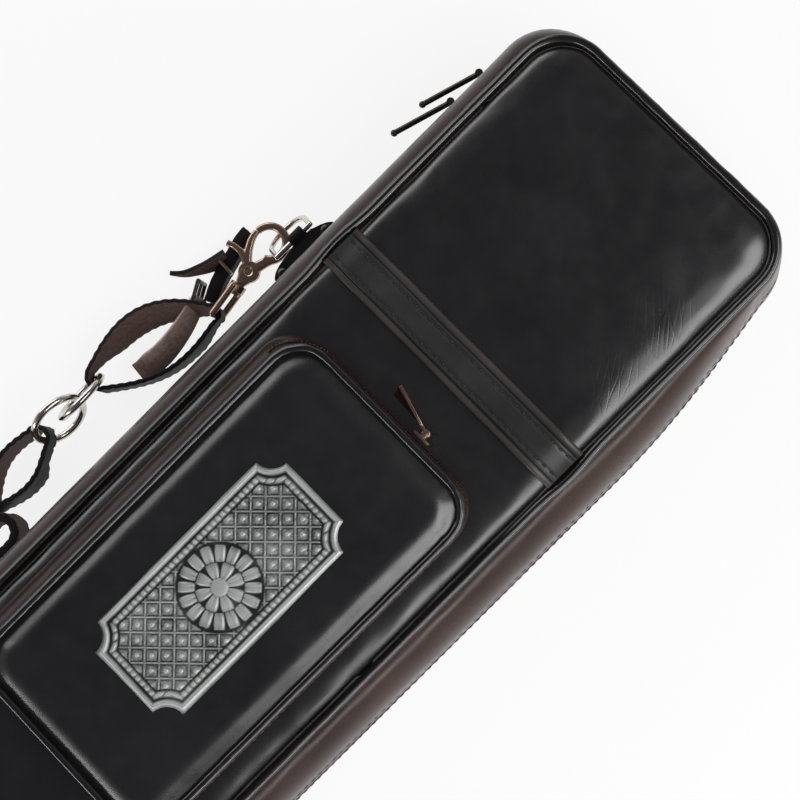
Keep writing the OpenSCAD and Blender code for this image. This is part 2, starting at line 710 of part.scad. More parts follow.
// Small buckle frame and prong that stand on edge beside the loop
module chape_buckle() color("#2b2725") {
    wire = 2.4;
    buckle_h = strap_w - 5;
    buckle_l = 12;
    buckle_from = 3;
    translate([tongue_root[0], tongue_root[1], wire / 2]) rotate([0, 0, 30]) {
        for (y = [buckle_from, buckle_from + buckle_l]) translate([0, y, 0]) {
            cylinder(d = wire, h = buckle_h);
            sphere(d = wire);
            translate([0, 0, buckle_h]) sphere(d = wire);
        }
        for (z = [0, buckle_h]) translate([0, buckle_from, z]) rotate([-90, 0, 0])
            cylinder(d = wire, h = buckle_l);
        translate([0, buckle_from, buckle_h / 2]) rotate([-90, 0, 0]) cylinder(d = wire * 0.8, h = buckle_l);
    }
}

module link_rings() color("#b8b0a6") {
    link_ring(link_a_y, link_lean);
    link_ring(link_b_y, -link_lean);
}

// Strap standing on edge: a loop on the second linking ring, the way over the floor and a loop on the lower eye
module shoulder_strap() color("#1b1716") {
    leather_loop(link_b_end, strap_knot, loop_r, knot_r, 7, chape_t, 12, -20);
    linear_extrude(strap_w)
        polygon(concat(beside(strap_path, strap_t / 2), flipped(beside(strap_path, -strap_t / 2))));
    leather_loop(lower_eye, lower_knot, eye_loop_r, knot_r, 3, chape_t, 10, -20);
}

back_panel();
back_board();
back_piping();
back_gusset();
back_zipper_tape();
back_zipper_teeth();
butt_bed();
butt_ribs();
butt_keepers();
butt_keeper_snaps();
spine();
front_panel();
front_board();
front_piping();
front_gusset();
front_zipper_tape();
front_zipper_teeth();
shaft_bed();
shaft_ribs();
shaft_keepers();
shaft_keeper_snaps();
band_base();
band_top();
upper_pocket_wall();
upper_pocket_zipper();
upper_pocket_rim();
upper_pocket_face();
upper_pocket_piping();
upper_pocket_plaque();
upper_pocket_slider();
upper_pocket_pull();
lower_pocket_wall();
lower_pocket_zipper();
lower_pocket_rim();
lower_pocket_face();
lower_pocket_piping();
lower_pocket_slider();
lower_pocket_pull();
upper_slider();
upper_pull();
lower_slider();
lower_pull();
ring_tabs();
ring_tab_rivets();
upper_d_ring();
lower_d_ring();
upper_snap_hook();
upper_snap_rivet();
upper_snap_gate();
upper_swivel_eye();
lower_snap_hook();
lower_snap_rivet();
lower_snap_gate();
lower_swivel_eye();
chape();
chape_buckle();
link_rings();
shoulder_strap();
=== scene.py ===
"""Looks of a leather butterfly cue case: padded panels, piping, pockets, zippers and a clip-on strap."""

import math

import bmesh
import bpy
from mathutils import Matrix, Vector, noise


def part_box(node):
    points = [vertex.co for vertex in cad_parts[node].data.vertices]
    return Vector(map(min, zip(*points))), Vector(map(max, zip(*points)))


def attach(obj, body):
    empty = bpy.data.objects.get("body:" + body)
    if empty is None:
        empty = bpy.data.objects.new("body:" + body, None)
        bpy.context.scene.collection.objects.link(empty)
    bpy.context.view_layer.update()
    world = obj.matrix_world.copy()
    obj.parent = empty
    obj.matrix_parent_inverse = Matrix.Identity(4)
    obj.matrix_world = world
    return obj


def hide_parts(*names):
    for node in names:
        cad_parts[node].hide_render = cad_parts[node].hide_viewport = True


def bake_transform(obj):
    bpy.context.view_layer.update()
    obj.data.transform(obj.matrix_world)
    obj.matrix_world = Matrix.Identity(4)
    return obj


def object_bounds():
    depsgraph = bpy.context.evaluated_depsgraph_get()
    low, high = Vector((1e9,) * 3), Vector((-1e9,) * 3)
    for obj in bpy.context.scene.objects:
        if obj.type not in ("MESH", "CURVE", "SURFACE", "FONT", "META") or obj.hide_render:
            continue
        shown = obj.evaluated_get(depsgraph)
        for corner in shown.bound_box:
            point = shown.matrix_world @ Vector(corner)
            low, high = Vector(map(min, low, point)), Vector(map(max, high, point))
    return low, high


bl_info = {
    "name": "Leather Cue Case",
    "version": (1, 0, 0),
    "blender": (4, 5, 0),
    "location": "View3D > Sidebar > Cue Case",
    "description": "Models the leather, stitching and hardware of a cue case around its frame",
    "category": "Object",
}

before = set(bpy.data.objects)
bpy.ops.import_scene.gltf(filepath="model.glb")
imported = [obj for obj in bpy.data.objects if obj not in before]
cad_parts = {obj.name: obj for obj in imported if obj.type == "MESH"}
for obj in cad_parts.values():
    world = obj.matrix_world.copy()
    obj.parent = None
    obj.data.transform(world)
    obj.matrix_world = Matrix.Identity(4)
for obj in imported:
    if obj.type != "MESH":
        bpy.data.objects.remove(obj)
CAD_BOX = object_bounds()
MM = 0.001
X, Y, Z = range(3)


def box_of(node):
    """Lowest corner, highest corner and middle of a frame node."""
    lo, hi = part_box(node)
    return lo, hi, (lo + hi) / 2


# Places and sizes that several pieces share
PANEL_LO, PANEL_HI, _ = box_of("front_panel")
PIPE_LO, PIPE_HI, PIPE_MID = box_of("front_piping")
SIDE_LO, SIDE_HI, _ = box_of("front_gusset")
_, BAND_HI, BAND_MID = box_of("band_base")
CASE_DEPTH = PANEL_HI.z
PANEL_R = 24 * MM
PANEL_HALF_W = PANEL_HI.x
PANEL_HALF_L = PANEL_HI.y
PIPE_R = (PIPE_HI.z - PIPE_LO.z) / 2
HALVES = (("front", False), ("back", True))
ENDS = ("upper", "lower")


class CueCaseSizes(bpy.types.PropertyGroup):
    """Sizes that a user would change."""

    crown: bpy.props.FloatProperty(
        name="Crown", description="How far a padded panel swells",
        default=2.5 * MM, unit="LENGTH")
    edge_drop: bpy.props.FloatProperty(
        name="Edge drop", description="How far a panel sinks beside its piping",
        default=6.5 * MM, unit="LENGTH")
    edge_run: bpy.props.FloatProperty(
        name="Edge run", description="Width of a panel's sinking edge",
        default=20 * MM, unit="LENGTH")
    pucker: bpy.props.FloatProperty(
        name="Pucker", description="How uneven the piping is",
        default=0.28 * MM, unit="LENGTH")
    wrinkle: bpy.props.FloatProperty(
        name="Wrinkle", description="Depth of the folds in the side leather",
        default=0.7 * MM, unit="LENGTH")
    stitch_pitch: bpy.props.FloatProperty(
        name="Stitch pitch", description="Distance from stitch to stitch",
        default=5.3 * MM, unit="LENGTH")
    tooth_pitch: bpy.props.FloatProperty(
        name="Tooth pitch", description="Distance from zipper tooth to tooth",
        default=2.6 * MM, unit="LENGTH")
    relief: bpy.props.FloatProperty(
        name="Relief", description="Depth of the tooling on the plaque",
        default=1.3 * MM, unit="LENGTH")


class CueCaseColours(bpy.types.PropertyGroup):
    """Colours that a user would change."""

    leather: bpy.props.FloatVectorProperty(
        name="Leather", description="Panels and pockets",
        default=(0.0040, 0.0035, 0.0038), subtype="COLOR")
    side: bpy.props.FloatVectorProperty(
        name="Side leather", description="Gussets and pocket walls",
        default=(0.020, 0.0105, 0.0082), subtype="COLOR")
    strap: bpy.props.FloatVectorProperty(
        name="Strap leather", description="Band, tabs and strap",
        default=(0.0075, 0.0060, 0.0060), subtype="COLOR")
    flesh: bpy.props.FloatVectorProperty(
        name="Flesh side", description="Rough side of the strap",
        default=(0.150, 0.088, 0.074), subtype="COLOR")
    # Lightened well past the brown of the flesh side: partly the flap's own pale flesh, partly painted light
    # for the flap, which lies in the case's shadow.
    pale_flesh: bpy.props.FloatVectorProperty(
        name="Pale flesh side", description="Flap inside the chape",
        default=(0.70, 0.54, 0.48), subtype="COLOR")
    pewter: bpy.props.FloatVectorProperty(
        name="Pewter", description="Rubbed high parts of the plaque",
        default=(0.44, 0.45, 0.44), subtype="COLOR")
    tape: bpy.props.FloatVectorProperty(
        name="Zipper tape", description="Woven zipper tape",
        default=(0.30, 0.24, 0.23), subtype="COLOR")
    lining: bpy.props.FloatVectorProperty(
        name="Lining", description="Napped lining inside",
        default=(0.040, 0.042, 0.050), subtype="COLOR")
    bronze: bpy.props.FloatVectorProperty(
        name="Bronze", description="Snaps and pocket pulls",
        default=(0.46, 0.32, 0.24), subtype="COLOR")
    nickel: bpy.props.FloatVectorProperty(
        name="Nickel", description="Rings and studs",
        default=(0.72, 0.68, 0.63), subtype="COLOR")


def sizes():
    return bpy.context.scene.cue_case_sizes


def colours():
    return bpy.context.scene.cue_case_colours


# Modelling helpers

def stop_editing():
    bpy.ops.object.mode_set(mode="OBJECT")


def clear_selection():
    """Leaves edit mode and selects nothing."""
    if bpy.context.object and bpy.context.object.mode != "OBJECT":
        stop_editing()
    bpy.ops.object.select_all(action="DESELECT")


def activate(piece):
    clear_selection()
    piece.select_set(True)
    bpy.context.view_layer.objects.active = piece


def edit(piece):
    """Opens a piece in edit mode with nothing selected."""
    activate(piece)
    bpy.ops.object.mode_set(mode="EDIT")
    bpy.ops.mesh.select_all(action="DESELECT")
    return bmesh.from_edit_mesh(piece.data)


def choose(piece, kind, test):
    """Selects the edges or faces that pass a test, and nothing else, and stays in edit mode."""
    mesh = edit(piece)
    bpy.ops.mesh.select_mode(type={"edges": "EDGE", "faces": "FACE"}[kind])
    for part in getattr(mesh, kind):
        part.select_set(bool(test(part)))
    mesh.select_flush_mode()
    bmesh.update_edit_mesh(piece.data)


def cut(piece, count, test):
    """Cuts the edges that pass a test, each by a number of cuts, and stays in edit mode."""
    choose(piece, "edges", test)
    bpy.ops.mesh.subdivide(number_cuts=count)


def span(edge, axis):
    """How far an edge reaches along an axis."""
    return abs(edge.verts[0].co[axis] - edge.verts[1].co[axis])


def middle(face):
    """Middle of a face."""
    return sum((v.co for v in face.verts), Vector()) / len(face.verts)


def close_mesh(piece):
    """Merges doubled points and turns all faces outwards."""
    edit(piece)
    bpy.ops.mesh.select_all(action="SELECT")
    bpy.ops.mesh.remove_doubles(threshold=0.01 * MM)
    bpy.ops.mesh.normals_make_consistent(inside=False)
    stop_editing()


def add_modifier(piece, kind, **settings):
    """Adds a modifier and applies it at once."""
    activate(piece)
    modifier = piece.modifiers.new(kind.title(), kind)
    for key, value in settings.items():
        setattr(modifier, key, value)
    bpy.ops.object.modifier_apply(modifier=modifier.name)


def settle(piece):
    """Puts a piece's place into its mesh, so that its object sits at the origin."""
    activate(piece)
    bpy.ops.object.transform_apply(location=True, rotation=True, scale=True)


def new_piece(name, data):
    """An object in the scene that shows a mesh or a curve."""
    piece = bpy.data.objects.new(name, data)
    bpy.context.scene.collection.objects.link(piece)
    return piece


def block(size, at=(0, 0, 0)):
    """A plain box, by its size and its middle."""
    clear_selection()
    bpy.ops.mesh.primitive_cube_add(size=1, location=at)
    piece = bpy.context.object
    piece.scale = size
    settle(piece)
    return piece


def smooth(piece, angle):
    activate(piece)
    bpy.ops.object.shade_smooth_by_angle(angle=math.radians(angle))


def shape(piece, place):
    """Moves every point of a mesh to place(point), as by sculpting."""
    for vertex in piece.data.vertices:
        vertex.co = place(vertex.co)
    piece.data.update()


def join(pieces, name):
    clear_selection()
    for piece in pieces:
        piece.select_set(True)
    bpy.context.view_layer.objects.active = pieces[0]
    if len(pieces) > 1:
        bpy.ops.object.join()
    pieces[0].name = name
    return pieces[0]


def repeated(master, places, name):
    """One piece made of a copy of the master's mesh at each place, and the master removed."""
    whole = bmesh.new()
    for place in places:
        first = len(whole.verts)
        whole.from_mesh(master.data)
        whole.verts.ensure_lookup_table()
        bmesh.ops.transform(whole, matrix=place, verts=whole.verts[first:])
    mesh = bpy.data.meshes.new(name)
    whole.to_mesh(mesh)
    whole.free()
    piece = new_piece(name, mesh)
    bpy.data.objects.remove(master)
    return piece


def copied(node, name):
    """A merged copy of a frame node's mesh, to be refined."""
    piece = new_piece(name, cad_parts[node].data.copy())
    close_mesh(piece)
    edit(piece)
    bpy.ops.mesh.select_all(action="SELECT")
    bpy.ops.mesh.dissolve_limited(angle_limit=math.radians(0.5))
    stop_editing()
    return piece


def hand_over(piece, name, body, material, nodes=()):
    """Names a finished piece, gives it a finish unless it has its own, and lets it ride on its body."""
    piece.name = name
    piece.data.name = name
    if material:
        piece.data.materials.clear()
        piece.data.materials.append(material)
    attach(piece, body)
    if nodes:
        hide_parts(*nodes)
    return piece


def turned_to(direction, up):
    """Rotation that takes +X to a direction and keeps +Z near up."""
    x = Vector(direction).normalized()
    y = up.cross(x).normalized()
    return Matrix((x, y, x.cross(y))).transposed().to_4x4()


def rough(point, scale, seed):
    """Smooth noise from -1 to 1 at a wavelength."""
    return noise.noise(Vector(point) / scale + Vector((seed, seed * 1.7, seed * 0.6)))


def eased(t):
    t = min(max(t, 0.0), 1.0)
    return t * t * (3 - 2 * t)


def ridge(off, width):
    """One on a line, falling softly to none on both sides of it."""
    return math.exp(-(off / width) ** 2)


def from_edge(x, y, half_w, half_l, r):
    """Distance inwards from the edge of a rounded rectangle."""
    out_x = abs(x) - (half_w - r)
    out_y = abs(y) - (half_l - r)
    return r - math.hypot(max(out_x, 0), max(out_y, 0)) - min(max(out_x, out_y), 0)


def row_half_width(y, half_w, half_l, r):
    """Half the width of a rounded rectangle at a height."""
    past = abs(y) - (half_l - r)
    return half_w if past <= 0 else half_w - r + math.sqrt(max(r * r - past * past, 0))


def corner_centres(half_w, half_l, r):
    """What the corners of a rounded rectangle turn about, from the upper right to the lower right."""
    x, y = half_w - r, half_l - r
    return [(x, y), (-x, y), (-x, -y), (x, -y)]


def core_point(p, half_w, half_l, r):
    """Nearest point within the corner centres of a rounded rectangle."""
    x, y = min(abs(p.x), half_w - r), min(abs(p.y), half_l - r)
    return Vector((math.copysign(x, p.x), math.copysign(y, p.y), p.z))


def carried_round(name, profile, half_w, half_l, r, step, right=True):
    """A profile in (outwards, up) carried round a rounded rectangle: its sides extruded, its corners spun.
    Without its right side it starts at the upper right corner and ends at the lower right one."""
    mesh = bpy.data.meshes.new(name)
    points = [(half_w + out, -half_l + r, up) for out, up in profile]
    links = [(i, i + 1) for i in range(len(points) - 1)]
    mesh.from_pydata(points, links + [(len(points) - 1, 0)], [])
    piece = new_piece(name, mesh)
    straight = [2 * (half_l - r), 2 * (half_w - r)] * 2
    corners = corner_centres(half_w, half_l, r)
    along = [Vector((0, 1, 0)), Vector((-1, 0, 0)), Vector((0, -1, 0)), Vector((1, 0, 0))]
    if not right:
        shape(piece, lambda p: Vector((p.x, -p.y, p.z)))
    edit(piece)
    bpy.ops.mesh.select_all(action="SELECT")
    for i in range(4):
        if right or i:
            bpy.ops.mesh.extrude_region_move(TRANSFORM_OT_translate={"value": along[i] * straight[i]})
        bpy.ops.mesh.spin(
            steps=max(6, round(r * math.pi / 2 / step)), angle=-math.pi / 2,
            center=(*corners[i], 0), axis=(0, 0, 1))
    close_mesh(piece)
    for axis, length in ((Y, straight[0]), (X, straight[1])):
        cut(piece, max(1, round(length / step)), lambda e: span(e, axis) > length * 0.9)
    stop_editing()
    close_mesh(piece)
    return piece


def moved(piece, offset):
    """Shifts a piece's mesh."""
    piece.data.transform(Matrix.Translation(offset))
    return piece


def circle_profile(out, up, radius, count=14):
    angles = [2 * math.pi * i / count for i in range(count)]
    return [(out + radius * math.cos(a), up + radius * math.sin(a)) for a in angles]


# Materials

def new_material(name, colour, roughness=0.5, metallic=0.0):
    """A material with its node tree and its shader."""
    material = bpy.data.materials.new(name)
    material.use_nodes = True
    shader = material.node_tree.nodes["Principled BSDF"]
    shader.inputs["Base Color"].default_value = (*colour, 1)
    shader.inputs["Roughness"].default_value = roughness
    shader.inputs["Metallic"].default_value = metallic
    return material, material.node_tree, shader


def add_node(tree, kind, sockets=None, **settings):
    node = tree.nodes.new(kind)
    for key, value in settings.items():
        setattr(node, key, value)
    for key, value in (sockets or {}).items():
        node.inputs[key].default_value = value
    return node


def object_place(tree, stretch, turn):
    """Object coordinates turned in plan and then stretched."""
    place = add_node(tree, "ShaderNodeTexCoord")
    turned = add_node(tree, "ShaderNodeMapping", {"Rotation": (0, 0, turn)})
    stretched = add_node(tree, "ShaderNodeMapping", {"Scale": stretch})
    tree.links.new(place.outputs["Object"], turned.inputs["Vector"])
    tree.links.new(turned.outputs["Vector"], stretched.inputs["Vector"])
    return stretched.outputs["Vector"]


def object_noise(tree, scale, detail, stretch=(1, 1, 1), turn=0.0):
    """Noise on Object coordinates, turned in plan and stretched."""
    cloud = add_node(tree, "ShaderNodeTexNoise", {"Scale": scale, "Detail": detail})
    tree.links.new(object_place(tree, stretch, turn), cloud.inputs["Vector"])
    return cloud.outputs["Fac"]


def ranged(tree, value, low, high, from_low=0.3, from_high=0.7):
    """A noise value spread over a range."""
    spread = add_node(tree, "ShaderNodeMapRange", {
        "From Min": from_low, "From Max": from_high, "To Min": low, "To Max": high})
    tree.links.new(value, spread.inputs["Value"])
    return spread.outputs["Result"]


# Sockets of a mix node that carry colours
MIX_A, MIX_B, MIX_RESULT = 6, 7, 2


def coloured(tree, shader, value, colour_a, colour_b):
    """Gives a shader a colour that runs from one to another with a value."""
    mix = add_node(tree, "ShaderNodeMix", {MIX_A: (*colour_a, 1), MIX_B: (*colour_b, 1)}, data_type="RGBA")
    tree.links.new(value, mix.inputs["Factor"])
    tree.links.new(mix.outputs[MIX_RESULT], shader.inputs["Base Color"])


def scaled(colour, share):
    """A colour made darker or lighter."""
    return tuple(c * share for c in colour)


def bumped(tree, shader, heights):
    """Bumps on a shader, from (value, depth in metres) pairs laid one on another."""
    normal = None
    for value, depth in heights:
        bump = add_node(tree, "ShaderNodeBump", {"Strength": 1.0, "Distance": depth})
        tree.links.new(value, bump.inputs["Height"])
        if normal:
            tree.links.new(normal, bump.inputs["Normal"])
        normal = bump.outputs["Normal"]
    tree.links.new(normal, shader.inputs["Normal"])


def cells(tree, scale, stretch=(1, 1, 1), turn=0.0):
    """Leather pores or cells: distance to the nearest cell edge on Object coordinates."""
    cell = add_node(tree, "ShaderNodeTexVoronoi", {"Scale": scale}, feature="DISTANCE_TO_EDGE")
    tree.links.new(object_place(tree, stretch, turn), cell.inputs["Vector"])
    return cell.outputs["Distance"]


def product(tree, a, b):
    """Two values multiplied."""
    times = add_node(tree, "ShaderNodeMath", operation="MULTIPLY")
    tree.links.new(a, times.inputs[0])
    tree.links.new(b, times.inputs[1])
    return times.outputs[0]


def around(tree, spot, near, far):
    """One within a distance of a spot, falling to none further out."""
    place = add_node(tree, "ShaderNodeTexCoord")
    gap = add_node(tree, "ShaderNodeVectorMath", {1: spot}, operation="DISTANCE")
    tree.links.new(place.outputs["Object"], gap.inputs[0])
    return ranged(tree, gap.outputs["Value"], 1, 0, near, far)


CRACK_DEPTH = 0.035 * MM
CRACK_NEAR = 4 * MM
CRACK_FAR = 24 * MM


def leather(name, colour, rough_low, rough_high, grain=0.014 * MM, crease=0.045 * MM, crease_turn=0.8,
            gloss=0.5, bent_at=()):
    """Polished leather with pores, fine creases, duller patches and clusters of lines where it was bent."""
    material, tree, shader = new_material(name, colour)
    patches = object_noise(tree, 22, 4)
    lighter = tuple(c * 1.7 + 0.002 for c in colour)
    coloured(tree, shader, ranged(tree, patches, 0, 1), colour, lighter)
    dull = object_noise(tree, 75, 5)
    tree.links.new(ranged(tree, dull, rough_low, rough_high), shader.inputs["Roughness"])
    folds = object_noise(tree, 130, 4, (1, 0.28, 1), crease_turn)
    pores = object_noise(tree, 1500, 2)
    heights = [(folds, crease), (cells(tree, 900), grain), (pores, grain * 0.5)]
    for spot, turn in bent_at:
        lines = ranged(tree, cells(tree, 260, (1, 0.13, 1), turn), 0, 1, 0.0, 0.10)
        heights.append((product(tree, lines, around(tree, spot, CRACK_NEAR, CRACK_FAR)), CRACK_DEPTH))
    bumped(tree, shader, heights)
    shader.inputs["Specular IOR Level"].default_value = gloss
    return material


def flesh_leather(name, colour):
    """Rough side of leather, brown and fibrous."""
    material, tree, shader = new_material(name, colour, 0.8)
    fibres = object_noise(tree, 420, 6)
    darker = scaled(colour, 0.55)
    coloured(tree, shader, ranged(tree, fibres, 0, 1), darker, colour)
    bumped(tree, shader, [(fibres, 0.25 * MM)])
    return material


def metal(name, colour, rough_low, rough_high):
    """Plated metal with fine handling marks."""
    material, tree, shader = new_material(name, colour, rough_low, 1.0)
    tarnish = object_noise(tree, 160, 5)
    darker = scaled(colour, 0.72)
    coloured(tree, shader, ranged(tree, tarnish, 0, 1), darker, colour)
    tree.links.new(ranged(tree, tarnish, rough_high, rough_low), shader.inputs["Roughness"])
    bumped(tree, shader, [(object_noise(tree, 900, 3, (1, 1, 0.15)), 0.012 * MM)])
    return material


def woven(name, colour, pitch):
    """Woven cloth: two crossed waves of yarn."""
    material, tree, shader = new_material(name, colour, 0.85)
    depth = 0.12 * MM
    place = add_node(tree, "ShaderNodeTexCoord")
    yarns = []
    for direction in ("Y", "Z"):
        wave = add_node(tree, "ShaderNodeTexWave", {"Scale": 0.314 / pitch, "Distortion": 1.2, "Detail": 1.0},
                        bands_direction=direction)
        tree.links.new(place.outputs["Object"], wave.inputs["Vector"])
        yarns.append(wave.outputs["Fac"])
    fuzz = object_noise(tree, 600, 4)
    darker = scaled(colour, 0.6)
    coloured(tree, shader, fuzz, darker, colour)
    bumped(tree, shader, [(yarns[0], depth), (yarns[1], depth), (fuzz, depth * 0.5)])
    return material


def napped(name, colour):
    """Short-napped lining."""
    material, tree, shader = new_material(name, colour, 0.95)
    nap = object_noise(tree, 700, 6)
    strokes = object_noise(tree, 35, 3)
    lighter = scaled(colour, 1.8)
    coloured(tree, shader, ranged(tree, strokes, 0, 1), colour, lighter)
    bumped(tree, shader, [(nap, 0.3 * MM)])
    shader.inputs["Sheen Weight"].default_value = 0.25
    return material


def thread(name, colour):
    """Waxed sewing thread."""
    material, tree, shader = new_material(name, colour, 0.55)
    bumped(tree, shader, [(object_noise(tree, 2500, 2), 0.05 * MM)])
    return material


FINISHES = {}
BAND_SLATE = (0.014, 0.0132, 0.0136)
ELASTIC_BLACK = (0.02, 0.02, 0.021)
THREAD_BLACK = (0.005, 0.005, 0.005)
THREAD_BROWN = (0.16, 0.12, 0.12)
PLATING_BLACK = (0.06, 0.055, 0.052)
TEETH_BROWN = (0.05, 0.045, 0.043)
BOARD_BROWN = (0.16, 0.11, 0.07)
PEWTER_CUTS = (0.020, 0.022, 0.022)
# Middle of each cluster of bend lines on the front panel, with the turn of its lines
PANEL_BENDS = [((0.064, 0.341, 0.097), -0.72), ((0.068, 0.300, 0.097), -0.60)]


def finish(name):
    """A finish by name, made once."""
    makers = {
        "panel": lambda: leather("panel_leather", colours().leather, 0.24, 0.31, crease=0.02 * MM,
                                 gloss=1.0, bent_at=PANEL_BENDS),
        "side": lambda: leather("side_leather", colours().side, 0.22, 0.32, 0.012 * MM, 0.05 * MM, 0.0, 0.17),
        "piping": lambda: leather("piping_leather", scaled(colours().leather, 0.8), 0.20, 0.30, gloss=0.7),
        # The band's lower layer is the strap leather made four times lighter: a painted highlight for the
        # pinkish sheen on its rolled edges.
        "band": lambda: leather("band_leather", scaled(colours().strap, 4), 0.30, 0.42),
        "band_top": lambda: leather("band_top_leather", BAND_SLATE, 0.34, 0.46),
        "strap": lambda: leather("strap_leather", colours().strap, 0.55, 0.7, 0.02 * MM, 0.06 * MM,
                                 gloss=0.14),
        "flesh": lambda: flesh_leather("flesh_leather", colours().flesh),
        "pale_flesh": lambda: flesh_leather("pale_flesh_leather", colours().pale_flesh),
        "tape": lambda: woven("zipper_tape", colours().tape, 0.9 * MM),
        "elastic": lambda: woven("elastic", ELASTIC_BLACK, 1.1 * MM),
        "lining": lambda: napped("napped_lining", colours().lining),
        "thread": lambda: thread("black_thread", THREAD_BLACK),
        "pale_thread": lambda: thread("seam_thread", THREAD_BROWN),
        "bronze": lambda: metal("bright_bronze", colours().bronze, 0.22, 0.36),
        "nickel": lambda: metal("polished_nickel", colours().nickel, 0.10, 0.22),
        "dark_metal": lambda: metal("black_plating", PLATING_BLACK, 0.25, 0.4),
        "teeth": lambda: metal("zipper_teeth", TEETH_BROWN, 0.3, 0.45),
        "bright_teeth": lambda: metal("bright_zipper_teeth", scaled(colours().bronze, 0.2), 0.2, 0.35),
        "board": lambda: flesh_leather("fibre_board", BOARD_BROWN),
    }
    if name not in FINISHES:
        FINISHES[name] = makers[name]()
    return FINISHES[name]


def give_finish(node, look):
    """Keeps a frame node and gives it a finish."""
    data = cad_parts[node].data
    data.materials.clear()
    data.materials.append(finish(look))


# Stage

CAMERA_AT = Vector((178.6, 261.8, 1252.6)) * MM
CAMERA_LOOKS_AT = Vector((-3.6, 217.0, 92.8)) * MM
CAMERA_ROLL = 0.793
CAMERA_FOCAL_PX = 2246.6
IMAGE_PX = 800
SENSOR_W = 36.0
FLOOR_GREY = (0.86, 0.86, 0.86)
FLOOR_GLOW = 0.86
# Height and colour of the room at its horizon and overhead
ROOM_TONES = [(0.05, (0.52, 0.50, 0.50, 1)), (0.75, (0.10, 0.10, 0.11, 1))]
# Name, place, aim, width, height and power of each lamp
LAMPS = [
    ("side_softbox", (1.40, 0.45, 0.50), (0.05, 0.2, 0.08), 2.2, 0.32, 22),
    ("over_softbox", (0.86, 0.62, 1.38), (0.05, 0.22, 0.09), 1.7, 0.6, 14),
    ("foot_softbox", (0.1, -1.6, 0.6), (0.0, 0.1, 0.1), 1.2, 0.3, 11),
    ("fill_softbox", (-1.4, 0.3, 0.6), (-0.1, 0.1, 0.05), 1.6, 0.7, 10),
]


class CUECASE_OT_stage(bpy.types.Operator):
    """Add the floor, the studio light and the camera"""
    bl_idname = "cue_case.stage"
    bl_label = "Stage"

    def execute(self, context):
        self.add_floor()
        self.add_world(context.scene)
        for lamp in LAMPS:
            self.add_lamp(*lamp)
        self.add_camera(context.scene)
        context.scene.view_settings.view_transform = "Standard"
        return {"FINISHED"}

    def add_floor(self):
        clear_selection()
        bpy.ops.mesh.primitive_plane_add(size=14, location=(0, 0, CAD_BOX[0].z - 0.4 * MM))
        floor = bpy.context.object
        floor.name = "studio_floor"
        material, tree, shader = new_material("pale_floor", FLOOR_GREY, 0.9)
        glow = add_node(tree, "ShaderNodeEmission", {"Color": (1, 1, 1, 1), "Strength": 1.0})
        rays = add_node(tree, "ShaderNodeLightPath")
        seen = add_node(tree, "ShaderNodeMath", operation="MAXIMUM")
        share = add_node(tree, "ShaderNodeMath", {1: FLOOR_GLOW}, operation="MULTIPLY")
        mix = add_node(tree, "ShaderNodeMixShader")
        tree.links.new(rays.outputs["Is Camera Ray"], seen.inputs[0])
        tree.links.new(rays.outputs["Is Glossy Ray"], seen.inputs[1])
        tree.links.new(seen.outputs[0], share.inputs[0])
        tree.links.new(share.outputs[0], mix.inputs["Fac"])
        tree.links.new(shader.outputs["BSDF"], mix.inputs[1])
        tree.links.new(glow.outputs["Emission"], mix.inputs[2])
        tree.links.new(mix.outputs["Shader"], tree.nodes["Material Output"].inputs["Surface"])
        floor.data.materials.append(material)

    def add_world(self, scene):
        """A room that is pale at the horizon and darker overhead."""
        world = bpy.data.worlds.new("studio_room")
        world.use_nodes = True
        tree = world.node_tree
        back = tree.nodes["Background"]
        place = add_node(tree, "ShaderNodeTexCoord")
        parts = add_node(tree, "ShaderNodeSeparateXYZ")
        ramp = add_node(tree, "ShaderNodeValToRGB")
        for stop, (height, colour) in zip(ramp.color_ramp.elements, ROOM_TONES):
            stop.position = height
            stop.color = colour
        tree.links.new(place.outputs["Generated"], parts.inputs["Vector"])
        tree.links.new(parts.outputs["Z"], ramp.inputs["Fac"])
        tree.links.new(ramp.outputs["Color"], back.inputs["Color"])
        scene.world = world

    def add_lamp(self, name, at, towards, width, height, power):
        clear_selection()
        bpy.ops.object.light_add(type="AREA", location=at)
        lamp = bpy.context.object
        lamp.name = name
        lamp.data.shape = "RECTANGLE"
        lamp.data.size = width
        lamp.data.size_y = height
        lamp.data.energy = power
        lamp.rotation_euler = (Vector(towards) - Vector(at)).to_track_quat("-Z", "Y").to_euler()

    def add_camera(self, scene):
        clear_selection()
        bpy.ops.object.camera_add(location=CAMERA_AT)
        camera = bpy.context.object
        back = (CAMERA_AT - CAMERA_LOOKS_AT).normalized()
        up = Vector((-math.sin(CAMERA_ROLL), math.cos(CAMERA_ROLL), 0))
        right = up.cross(back).normalized()
        camera.rotation_euler = Matrix((right, back.cross(right), back)).transposed().to_euler()
        camera.data.sensor_width = SENSOR_W
        camera.data.lens = CAMERA_FOCAL_PX / IMAGE_PX * SENSOR_W
        scene.camera = camera


# Halves: padded panels, piping, side leather and spine

